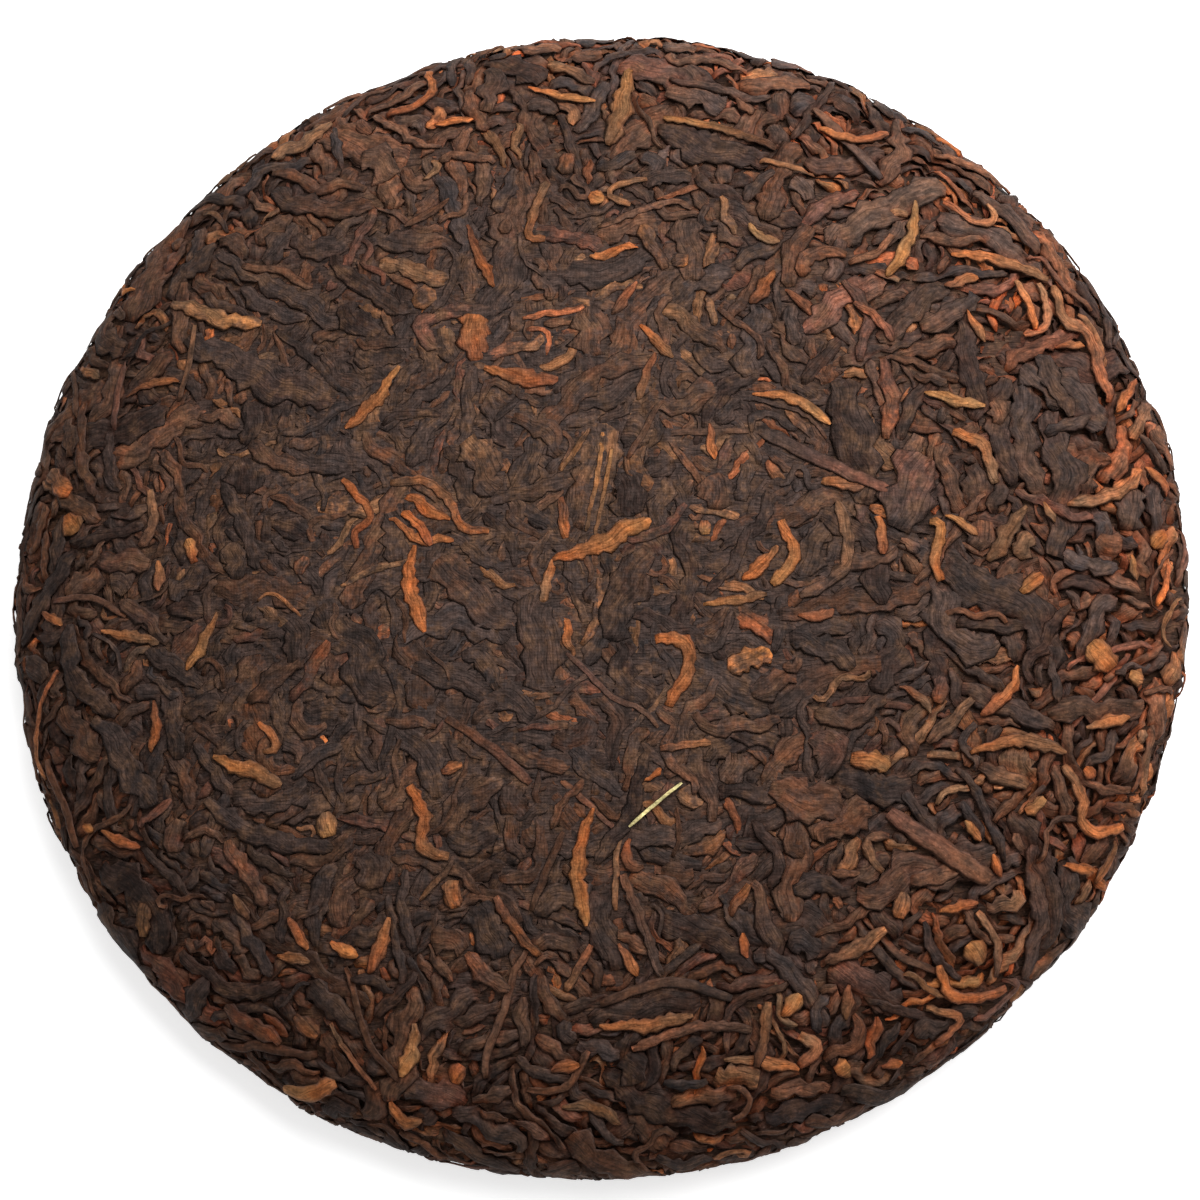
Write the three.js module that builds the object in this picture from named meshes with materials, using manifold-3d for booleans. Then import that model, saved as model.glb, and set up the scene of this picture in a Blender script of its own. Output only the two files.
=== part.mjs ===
// A pu erh tea cake: a disc of pressed tea leaves, domed on its front face, rounded at its rim and flat
// underneath, with the round hollow that the knot of the pressing cloth leaves in the middle of its back.
// It is one solid: a compressed core with its largest rolled leaves fused on, all in millimetres, +Z up.
// The origin is at the centre of the flat underside.
import * as THREE from "three";
import { mergeVertices } from "three/addons/utils/BufferGeometryUtils.js";
import Module from "manifold-3d";

const wasm = await Module();
wasm.setup();

// The cake's own sizes. It is widest at rimHeight, and its front is a superellipse from there to the top.
const CAKE = {
  radius: 99.4,
  height: 22.4,
  rimHeight: 7,
  frontFlatness: 3,
  frontFullness: 2.4,
  footRadius: 87,
  footSink: 0.5,
  hollowRadius: 30,
  hollowDepth: 9,
};

// How finely the core is divided round its axis and along its profile.
const CORE = { turns: 44, frontRings: 8, cornerRings: 2, footRings: 2, hollowRings: 4 };

// The core is uneven by two crossed waves, in radians per millimetre, each bent by a slower one. They draw the
// surface in by up to depth. The smaller levelling is, the more they draw the faces straight down.
const UNEVENNESS = {
  depth: 0.6,
  alongX: 0.31,
  alongY: 0.27,
  bentByX: 0.13,
  bentByY: 0.17,
  bend: 1.2,
  levelling: 0.1,
};

// The kinds of leaf that stand out of the pressed surface, with the share of each.
const LEAF_KINDS = [
  { share: 0.5, length: [20, 30], width: [5.2, 7], rise: [0.5, 0.8], bend: 0.6, sections: 4 },
  { share: 0.4, length: [15, 22], width: [3, 4], rise: [0.7, 1.1], bend: 1.3, sections: 5 },
  { share: 0.1, length: [8, 12], width: [2.6, 3.6], rise: [0.6, 1], bend: 0.6, sections: 3 },
];

// A leaf is a bar sunk into the core, with the top of its section narrower than its base. Its width and rise
// wander along it, and its tips are these shares of its middle.
const LEAF_FORM = {
  sink: 2.4,
  topShare: 0.58,
  widthWander: [0.85, 1.15],
  riseWander: [0.8, 1.2],
  tipWidth: 0.42,
  tipRise: 0.35,
};

// How many leaves each face carries, and how far in from the face's own edge they stay.
const FRONT_LEAVES = { count: 116, seed: 357, edgeMargin: 3 };
const BACK_LEAVES = { count: 32, seed: 7, edgeMargin: 1 };

// Past this distance from the middle of a face, leaves lie along the rim, within this spread in radians.
const RIM = { start: 86, headingSpread: 0.9 };

const LEAF_BROWN = new THREE.Color(0.11, 0.055, 0.037);

const PROFILE_STEPS = 120;
const MERGE_DISTANCE = 1e-3;
const TABLE_DEPTH = 10;
const RANDOM = { factor: 1664525, step: 1013904223, range: 2 ** 32 };
const QUARTER = Math.PI / 2;
const GOLDEN_ANGLE = Math.PI * (3 - Math.sqrt(5));

/** A repeatable source of random numbers from 0 to 1. */
function seededRandom(seed) {
  let state = seed;
  return () => {
    state = (state * RANDOM.factor + RANDOM.step) % RANDOM.range;
    return state / RANDOM.range;
  };
}

/** A number from a [low, high] range. */
function within([low, high], share) {
  return low + (high - low) * share;
}

/** The front from its centre to the widest part of the rim, as (radius, height). */
function frontCurve(share) {
  const angle = share * QUARTER;
  return new THREE.Vector2(
    CAKE.radius * Math.sin(angle) ** (2 / CAKE.frontFlatness),
    CAKE.rimHeight + (CAKE.height - CAKE.rimHeight) * Math.cos(angle) ** (2 / CAKE.frontFullness),
  );
}

/** The rounded lower corner, from the widest part of the rim to the foot. */
function cornerCurve(share) {
  const angle = share * QUARTER;
  return new THREE.Vector2(
    CAKE.footRadius + (CAKE.radius - CAKE.footRadius) * Math.cos(angle),
    CAKE.rimHeight - (CAKE.rimHeight - CAKE.footSink) * Math.sin(angle),
  );
}

/** The flat ring that the cake stands on, from the rim's lower corner to the hollow's lip. */
function footCurve(share) {
  return new THREE.Vector2(CAKE.footRadius + (CAKE.hollowRadius - CAKE.footRadius) * share, CAKE.footSink);
}

/** The bowl of the hollow, from its lip to its middle. */
function hollowCurve(share) {
  const radius = CAKE.hollowRadius * (1 - share);
  const depth = CAKE.hollowDepth * (1 - (1 - share) ** 2);
  return new THREE.Vector2(radius, CAKE.footSink + depth);
}

/** Points of a curve at equal shares of its run. */
function sampled(curve, count) {
  return Array.from({ length: count + 1 }, (_, i) => curve(i / count));
}

/** A face as a table of points along its profile, each with its distance along the face from the centre. */
function measuredFace(points) {
  let along = 0;
  return points.map((point, i) => {
    if (i > 0) along += point.distanceTo(points[i - 1]);
    const before = points[Math.max(0, i - 1)];
    const after = points[Math.min(points.length - 1, i + 1)];
    const run = after.clone().sub(before).normalize();
    return { along, point, run };
  });
}

/** The profile's point and direction at a distance from the face's centre. */
function onFace(face, distance) {
  const last = face.table.length - 1;
  let i = 1;
  while (i < last && face.table[i].along < distance) i += 1;
  const a = face.table[i - 1];
  const b = face.table[i];
  const share = THREE.MathUtils.clamp((distance - a.along) / (b.along - a.along), 0, 1);
  const run = a.run.clone().lerp(b.run, share).normalize();
  const outward = face.mirrored ? new THREE.Vector2(run.y, -run.x) : new THREE.Vector2(-run.y, run.x);
  return { point: a.point.clone().lerp(b.point, share), outward };
}

/** The place in space of a point (x, y) of the flattened face, lifted off the face by lift. */
function placed(face, x, y, lift) {
  const { point, outward } = onFace(face, Math.hypot(x, y));
  const turn = Math.atan2(y, x);
  const radius = point.x + outward.x * lift;
  return new THREE.Vector3(radius * Math.cos(turn), radius * Math.sin(turn), point.y + outward.y * lift);
}

/** How far the core's surface is drawn in at a point, in crossed waves. */
function drawnIn({ x, y, z }) {
  const acrossX = Math.sin(x * UNEVENNESS.alongX + UNEVENNESS.bend * Math.sin(y * UNEVENNESS.bentByY));
  const acrossY = Math.sin(y * UNEVENNESS.alongY + UNEVENNESS.bend * Math.sin(x * UNEVENNESS.bentByX) + z);
  return (UNEVENNESS.depth * (1 + acrossX * acrossY)) / 2;
}

/** A closed mesh as a manifold solid: corners that meet are merged, and faces that this empties go. */
function solidOf(geometry) {
  const bare = new THREE.BufferGeometry();
  bare.setAttribute("position", geometry.getAttribute("position"));
  bare.setIndex(geometry.getIndex());
  const merged = mergeVertices(bare, MERGE_DISTANCE);
  const corners = merged.getIndex().array;
  const triVerts = [];
  for (let i = 0; i < corners.length; i += 3) {
    const [a, b, c] = corners.slice(i, i + 3);
    if (a !== b && b !== c && c !== a) triVerts.push(a, b, c);
  }
  return new wasm.Manifold(
    new wasm.Mesh({
      numProp: 3,
      vertProperties: merged.getAttribute("position").array,
      triVerts: new Uint32Array(triVerts),
    }),
  );
}

/** The pressed core: the whole profile turned about Z, with its surface drawn in unevenly. */
function coreSolid() {
  const profile = [
    ...sampled(frontCurve, CORE.frontRings),
    ...sampled(cornerCurve, CORE.cornerRings).slice(1),
    ...sampled(footCurve, CORE.footRings).slice(1),
    ...sampled(hollowCurve, CORE.hollowRings).slice(1),
  ];
  profile[0].x = 0;
  profile[profile.length - 1].x = 0;
  const geometry = new THREE.LatheGeometry(profile.reverse(), CORE.turns);
  geometry.rotateX(QUARTER);
  const position = geometry.getAttribute("position");
  const middle = new THREE.Vector3(0, 0, CAKE.rimHeight);
  const levelled = new THREE.Vector3(UNEVENNESS.levelling, UNEVENNESS.levelling, 1);
  const vertex = new THREE.Vector3();
  for (let i = 0; i < position.count; i += 1) {
    vertex.fromBufferAttribute(position, i);
    const inward = middle.clone().sub(vertex).multiply(levelled).normalize();
    if (vertex.z > CAKE.footSink + MERGE_DISTANCE) vertex.addScaledVector(inward, drawnIn(vertex));
    position.setXYZ(i, vertex.x, vertex.y, vertex.z);
  }
  return solidOf(geometry);
}

/** One rolled leaf lying along a face: a tapered bar with a pressed flat top, bent in an arc. */
function leafSolid(face, kind, centre, heading, random) {
  const length = within(kind.length, random());
  const width = within(kind.width, random());
  const rise = within(kind.rise, random());
  const bend = kind.bend * (2 * random() - 1);
  const last = kind.sections - 1;
  const positions = [];
  for (let i = 0; i <= last; i += 1) {
    const share = i / last - 0.5;
    const turned = heading + bend * share;
    const along = length * share;
    const x = centre.x + along * Math.cos(heading + (bend * share) / 2);
    const y = centre.y + along * Math.sin(heading + (bend * share) / 2);
    const tip = i === 0 || i === last;
    const half = (width / 2) * (tip ? LEAF_FORM.tipWidth : within(LEAF_FORM.widthWander, random()));
    const top = rise * (tip ? LEAF_FORM.tipRise : within(LEAF_FORM.riseWander, random()));
    const corners = [
      [-half, -LEAF_FORM.sink],
      [half, -LEAF_FORM.sink],
      [half * LEAF_FORM.topShare, top],
      [-half * LEAF_FORM.topShare, top],
    ];
    for (const [side, lift] of corners) {
      const point = placed(face, x - side * Math.sin(turned), y + side * Math.cos(turned), lift);
      positions.push(point.x, point.y, point.z);
    }
  }
  const geometry = new THREE.BufferGeometry();
  geometry.setAttribute("position", new THREE.Float32BufferAttribute(positions, 3));
  geometry.setIndex(barFaces(kind.sections, face.mirrored));
  return solidOf(geometry);
}

/** The triangles of a bar of four-cornered sections, with a cap at each end. */
function barFaces(sections, mirrored) {
  const faces = [];
  for (let i = 0; i < sections - 1; i += 1) {
    for (let j = 0; j < 4; j += 1) {
      const a = 4 * i + j;
      const b = 4 * i + ((j + 1) % 4);
      faces.push([a, a + 4, b], [b, a + 4, b + 4]);
    }
  }
  const end = 4 * (sections - 1);
  faces.push([0, 1, 2], [0, 2, 3], [end, end + 2, end + 1], [end, end + 3, end + 2]);
  return faces.map(([a, b, c]) => (mirrored ? [a, b, c] : [a, c, b])).flat();
}

/** The kind of leaf for a random share. */
function leafKind(share) {
  let left = share;
  for (const kind of LEAF_KINDS) {
    left -= kind.share;
    if (left < 0) return kind;
  }
  return LEAF_KINDS[0];
}

/** A face's leaves, spread evenly on a sunflower spiral, each turned its own way. */
function leavesOn(face, { count, seed, edgeMargin }) {
  const random = seededRandom(seed);
  const reach = face.table[face.table.length - 1].along - edgeMargin;
  return Array.from({ length: count }, (_, i) => {
    const distance = reach * Math.sqrt((i + 0.5) / count);
    const turn = i * GOLDEN_ANGLE;
    const centre = new THREE.Vector2(distance * Math.cos(turn), distance * Math.sin(turn));
    const alongRim = turn + QUARTER + RIM.headingSpread * (random() - 0.5);
    const heading = distance > RIM.start ? alongRim : random() * Math.PI;
    return leafSolid(face, leafKind(random()), centre, heading, random);
  });
}

/** Everything below the surface that the cake lies on, which presses its underside flat. */
function belowTheTable() {
  const slab = new THREE.BoxGeometry(3 * CAKE.radius, 3 * CAKE.radius, TABLE_DEPTH);
  slab.translate(0, 0, -TABLE_DEPTH / 2);
  return solidOf(slab);
}

/** A manifold solid as geometry to draw, with flat faces. */
function geometryOf(solid) {
  const mesh = solid.getMesh();
  const geometry = new THREE.BufferGeometry();
  geometry.setAttribute("position", new THREE.BufferAttribute(new Float32Array(mesh.vertProperties), 3));
  geometry.setIndex(new THREE.BufferAttribute(new Uint32Array(mesh.triVerts), 1));
  const flat = geometry.toNonIndexed();
  flat.computeVertexNormals();
  return flat;
}

/** The largest of a solid's surfaces: hollows that the joining sealed are filled, and loose scraps go. */
function largestBody(solid) {
  return solid.decompose().reduce((best, body) => (body.volume() > best.volume() ? body : best));
}

/** The points along several curves that follow one another, at steps of a share of each. */
function chained(curves, count) {
  return curves.flatMap((curve, i) => sampled(curve, count).slice(i > 0 ? 1 : 0));
}

/** The whole cake: the core with the leaves of both faces fused on, pressed flat underneath. */
function cakeSolid() {
  const front = { table: measuredFace(chained([frontCurve, cornerCurve], PROFILE_STEPS)), mirrored: false };
  const backPoints = chained([footCurve, hollowCurve], PROFILE_STEPS);
  const back = { table: measuredFace(backPoints.reverse()), mirrored: true };
  const leaves = [...leavesOn(front, FRONT_LEAVES), ...leavesOn(back, BACK_LEAVES)];
  const joined = largestBody(wasm.Manifold.union([coreSolid(), ...leaves]).subtract(belowTheTable()));
  return largestBody(solidOf(geometryOf(joined)));
}

const cake = new THREE.Mesh(
  geometryOf(cakeSolid()),
  new THREE.MeshStandardMaterial({ color: LEAF_BROWN, roughness: 0.72, metalness: 0 }),
);
cake.name = "tea_cake";

// The leaves reach a little further out on one side than on the other, so the origin is moved under their middle.
cake.geometry.computeBoundingBox();
const outlineMiddle = cake.geometry.boundingBox.getCenter(new THREE.Vector3());
cake.position.set(-outlineMiddle.x, -outlineMiddle.y, 0);

const group = new THREE.Group();
group.add(cake);

export default group;
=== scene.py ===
"""The looks of a pu erh tea cake: every leaf is laid one by one or by rule under the mould of a press."""

import logging
import math
from dataclasses import dataclass, field
from enum import Enum

import bpy
import numpy as np
from mathutils import Matrix, Vector


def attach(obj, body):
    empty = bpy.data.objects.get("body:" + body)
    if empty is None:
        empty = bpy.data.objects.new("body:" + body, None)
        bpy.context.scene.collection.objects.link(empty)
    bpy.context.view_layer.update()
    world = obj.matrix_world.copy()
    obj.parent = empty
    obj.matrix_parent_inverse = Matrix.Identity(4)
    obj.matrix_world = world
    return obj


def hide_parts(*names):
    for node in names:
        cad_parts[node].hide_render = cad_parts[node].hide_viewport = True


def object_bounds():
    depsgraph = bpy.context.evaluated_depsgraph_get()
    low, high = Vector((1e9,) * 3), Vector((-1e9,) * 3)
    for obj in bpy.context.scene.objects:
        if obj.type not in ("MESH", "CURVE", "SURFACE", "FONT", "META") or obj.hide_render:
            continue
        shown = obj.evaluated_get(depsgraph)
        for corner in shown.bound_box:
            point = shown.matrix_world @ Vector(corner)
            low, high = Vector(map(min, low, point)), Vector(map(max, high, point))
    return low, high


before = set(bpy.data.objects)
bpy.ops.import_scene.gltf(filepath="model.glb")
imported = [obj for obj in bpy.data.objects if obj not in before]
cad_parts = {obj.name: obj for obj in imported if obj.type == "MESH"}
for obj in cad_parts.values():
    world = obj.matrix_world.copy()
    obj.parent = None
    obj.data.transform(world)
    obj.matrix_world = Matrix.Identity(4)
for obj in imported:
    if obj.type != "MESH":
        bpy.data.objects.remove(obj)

CAD_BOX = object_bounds()

LOG = logging.getLogger("tea_cake")

MM = 0.001
SEED = 357


class Tone(Enum):
    """The colours of dry pressed tea, as linear reflectance."""

    SOOT = (0.028, 0.0165, 0.0135)
    SLATE = (0.038, 0.0265, 0.0235)
    UMBER = (0.085, 0.041, 0.0245)
    TAN = (0.180, 0.089, 0.044)
    CHESTNUT = (0.102, 0.045, 0.031)
    RUST = (0.218, 0.074, 0.033)
    ORANGE = (0.340, 0.117, 0.039)
    GOLD = (0.355, 0.160, 0.058)
    STRAW = (0.620, 0.500, 0.220)


class Outline(Enum):
    """How a leaf's width runs from end to end, with the share of its width that is left at its ends."""

    SPINDLE = 0.42
    BUD = 0.25
    STICK = 0.62
    CHIP = 0.5

    def widths(self, along: np.ndarray, rng: np.random.Generator) -> np.ndarray:
        """The share of the full width at each share of the length.

        Args:
            along: Shares of the length, from 0 to 1.
            rng: Draws how the leaf tapers.

        Returns:
            Shares of the full width, from 0 to 1.
        """
        along = np.clip(along, 0, 1)
        lopsided = along ** rng.uniform(0.6, 1.7)
        body = np.clip(4 * lopsided * (1 - lopsided), 0, 1)
        if self is Outline.SPINDLE:
            fullness = body ** rng.uniform(0.2, 0.8)
        elif self is Outline.BUD:
            fullness = np.clip(np.sin(np.pi * along**1.4), 0, 1) ** 0.6
        elif self is Outline.STICK:
            fullness = body**0.35
        else:
            fullness = body**0.5
        return self.value + (1 - self.value) * fullness


@dataclass(frozen=True)
class CakeForm:
    """The cake's mould, in millimetres, with the same curves as the solid's."""

    radius: float
    height: float
    rim_height: float = 7.0
    front_flatness: float = 3.0
    front_fullness: float = 2.4
    foot_radius: float = 87.0
    hollow_radius: float = 30.0
    hollow_depth: float = 9.0
    overlap: float = 9.0

    def front_points(self, steps: int) -> np.ndarray:
        """The front from its middle over the rim and a little way under the foot.

        Args:
            steps: Points on each curve.

        Returns:
            Rows of radius and height.
        """
        angle = np.linspace(0, math.pi / 2, steps)
        top = np.column_stack(
            (
                self.radius * np.sin(angle) ** (2 / self.front_flatness),
                self.rim_height
                + (self.height - self.rim_height) * np.cos(angle) ** (2 / self.front_fullness),
            )
        )
        top[-1, 1] = self.rim_height
        foot = np.array([[self.foot_radius - self.overlap, 0.0]])
        return np.concatenate((top, self.corner_points(steps)[1:], foot))

    def corner_points(self, steps: int) -> np.ndarray:
        """The rounded lower corner from the rim to the foot, as rows of radius and height."""
        angle = np.linspace(0, math.pi / 2, steps)
        return np.column_stack(
            (
                self.foot_radius + (self.radius - self.foot_radius) * np.cos(angle),
                self.rim_height * (1 - np.sin(angle)),
            )
        )

    def back_points(self, steps: int) -> np.ndarray:
        """The back from the middle of its hollow to a little way up the rim.

        Args:
            steps: Points on the hollow's curve.

        Returns:
            Rows of radius and height.
        """
        bowl_radius = np.linspace(0, self.hollow_radius, steps)
        bowl = np.column_stack(
            (bowl_radius, self.hollow_depth * (1 - (bowl_radius / self.hollow_radius) ** 2))
        )
        corner = self.corner_points(steps)[::-1]
        return np.concatenate((bowl, corner[: steps // 2]))


class Face:
    """One face of the cake, flattened to x and y by the length along its profile."""

    def __init__(self, points: np.ndarray, mirrored: bool) -> None:
        """Measures the face.

        Args:
            points: Rows of radius and height, from the middle outwards.
            mirrored: True for the back, which is seen from below.
        """
        steps = np.hypot(*np.diff(points, axis=0).T)
        self.along = np.concatenate(([0.0], np.cumsum(steps)))
        run = np.gradient(points, self.along, axis=0)
        run /= np.linalg.norm(run, axis=1)[:, None]
        side = -1.0 if mirrored else 1.0
        self.points = points
        self.outward = side * np.column_stack((-run[:, 1], run[:, 0]))
        self.mirrored = mirrored
        self.reach = float(self.along[-1])

    def place(self, flat: np.ndarray, lift: np.ndarray) -> np.ndarray:
        """Points in space.

        Args:
            flat: Places on the flattened face, with x and y last.
            lift: Height off the face at each of them.

        Returns:
            Places in space, in millimetres, with x, y and z last.
        """
        distance = np.hypot(flat[..., 0], flat[..., 1])
        turn = np.arctan2(flat[..., 1], flat[..., 0])
        column = [
            np.interp(distance, self.along, values)
            for values in (*self.points.T, *self.outward.T)
        ]
        radius = column[0] + lift * column[2]
        height = column[1] + lift * column[3]
        return np.stack((radius * np.cos(turn), radius * np.sin(turn), height), axis=-1)

    def flatten(self, radius: float) -> float:
        """The length along the profile from the middle out to a radius above the rim."""
        widest = int(np.argmax(self.points[:, 0])) + 1
        return float(np.interp(radius, self.points[:widest, 0], self.along[:widest]))

    def height_at(self, radius: float) -> float:
        """The height of the face at a radius above the rim."""
        widest = int(np.argmax(self.points[:, 0])) + 1
        return float(np.interp(radius, self.points[:widest, 0], self.points[:widest, 1]))


def rolling(x: np.ndarray, y: np.ndarray, wavelength: float, rng: np.random.Generator) -> np.ndarray:
    """Smooth hills and dips.

    Args:
        x: Places along x.
        y: Places along y.
        wavelength: Mean distance from hill to hill.
        rng: Draws the waves' directions and phases.

    Returns:
        Heights, mostly from -1 to 1.
    """
    total = np.zeros_like(x)
    waves = 7
    for _ in range(waves):
        heading = rng.uniform(0, 2 * math.pi)
        pitch = 2 * math.pi / (wavelength * rng.uniform(0.7, 1.4))
        total += np.sin(pitch * (x * math.cos(heading) + y * math.sin(heading)) + rng.uniform(0, 6.28))
    return total / math.sqrt(waves)


@dataclass(frozen=True)
class Hills:
    """Hills and dips: their mean height, and the height and the length of each of their waves."""

    mean: float
    waves: tuple[tuple[float, float], ...]

    def at(self, x: np.ndarray, y: np.ndarray, rng: np.random.Generator) -> np.ndarray:
        """The heights at some places.

        Args:
            x: Places along x.
            y: Places along y.
            rng: Draws the waves.

        Returns:
            The heights.
        """
        total = np.full_like(x, self.mean)
        for height, length in self.waves:
            total = total + height * rolling(x, y, length, rng)
        return total


@dataclass(frozen=True)
class LeafKind:
    """One kind of leaf, in millimetres.

    Its length and width run from least to most. Its drop is how far it tends to lie below the mould, and its
    bulge how far its edges fall away. It bends, sways and is ragged by shares, and its mesh has so many
    points across its top and one ring for each step along it.
    """

    piece: str
    length: tuple[float, float]
    width: tuple[float, float]
    thickness: float
    bulge: float
    ridges: int
    ridge_height: float
    crumple: float
    bend: float
    sway: float
    ragged: float
    outline: Outline
    across: int
    step: float
    tones: dict[Tone, float]
    drop: float
    edgewards: float = 0.7

    def columns(self) -> np.ndarray:
        """Where the top's points lie across the leaf, from -1 to 1, closer together at the edges."""
        even = np.linspace(-1, 1, self.across)
        return np.sign(even) * np.abs(even) ** self.edgewards

    def pick_tone(self, rng: np.random.Generator) -> Tone:
        """A tone by the kind's shares."""
        shares = np.array(list(self.tones.values()))
        return list(self.tones)[int(rng.choice(len(shares), p=shares / shares.sum()))]


@dataclass
class Strip:
    """A leaf's flat shape: its middle line, its sideways directions and its width to either side."""

    middle: np.ndarray
    sideways: np.ndarray
    right: np.ndarray
    left: np.ndarray

    def spread(self, columns: np.ndarray) -> tuple[np.ndarray, np.ndarray]:
        """Points across the strip at every step along it.

        Args:
            columns: Where the points lie across it, from -1 to 1.

        Returns:
            The points on the flattened face, and how far each lies to the side.
        """
        half = np.where(columns[None, :] < 0, self.right[:, None], self.left[:, None])
        across = half * columns[None, :]
        return self.middle[:, None, :] + across[..., None] * self.sideways[:, None, :], across

    def picked(self, rows: slice) -> "Strip":
        """Some of the strip's rows."""
        return Strip(self.middle[rows], self.sideways[rows], self.right[rows], self.left[rows])


@dataclass
class Leaf:
    """One laid leaf: its rings of points on the flattened face, and what its material reads."""

    flat: np.ndarray
    lift: np.ndarray
    grain: np.ndarray
    form: np.ndarray
    tone: np.ndarray


def waves(along: np.ndarray, lengths: tuple[float, ...], rng: np.random.Generator) -> np.ndarray:
    """Uneven waves along a line.

    Args:
        along: Places along it, in millimetres.
        lengths: The lengths of the waves that are added up.
        rng: Draws their phases.

    Returns:
        Values, mostly from -1 to 1.
    """
    total = np.zeros_like(along)
    for length in lengths:
        pitch = 2 * math.pi / (length * rng.uniform(0.75, 1.3))
        total += np.sin(pitch * along + rng.uniform(0, 2 * math.pi))
    return total / math.sqrt(len(lengths))


@dataclass(frozen=True)
class Pressing:
    """How loosely a face is pressed, in millimetres, in its middle, by its rim and on its wall."""

    middle: float
    rim: float
    wall: float
    centre: tuple[float, float] = (-12.0, 4.0)
    flat_reach: float = 30.0
    rim_reach: float = 105.0
    wall_reach: tuple[float, float] = (95.0, 106.0)
    rise: float = 1.2
    lump: float = 0.7
    lump_seed: int = 23
    lump_hills: Hills = Hills(0.4, ((0.5, 21.0), (0.35, 9.0)))
    lump_limit: float = 1.6
    lump_start: float = 88.0
    lump_ramp: float = 12.0

    def at(self, x: np.ndarray, y: np.ndarray) -> np.ndarray:
        """How loosely the leaves are pressed at a place."""
        distance = np.hypot(x - self.centre[0], y - self.centre[1])
        share = np.clip((distance - self.flat_reach) / (self.rim_reach - self.flat_reach), 0, 1)
        loose = self.middle + (self.rim - self.middle) * share**self.rise
        return loose + (self.wall - loose) * self.walled(np.hypot(x, y))

    def walled(self, distance: np.ndarray) -> np.ndarray:
        """How far a place lies down the wall, from 0 to 1."""
        low, high = self.wall_reach
        return np.clip((distance - low) / (high - low), 0, 1)

    def lumps(self, x: np.ndarray, y: np.ndarray) -> np.ndarray:
        """How far the face is broken back at a place, which it is only about its rim."""
        rough = self.lump_hills.at(x, y, np.random.default_rng(self.lump_seed))
        ramp = np.clip((np.hypot(x, y) - self.lump_start) / self.lump_ramp, 0, 1)
        return self.lump * np.clip(rough, 0, self.lump_limit) * ramp


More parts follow.
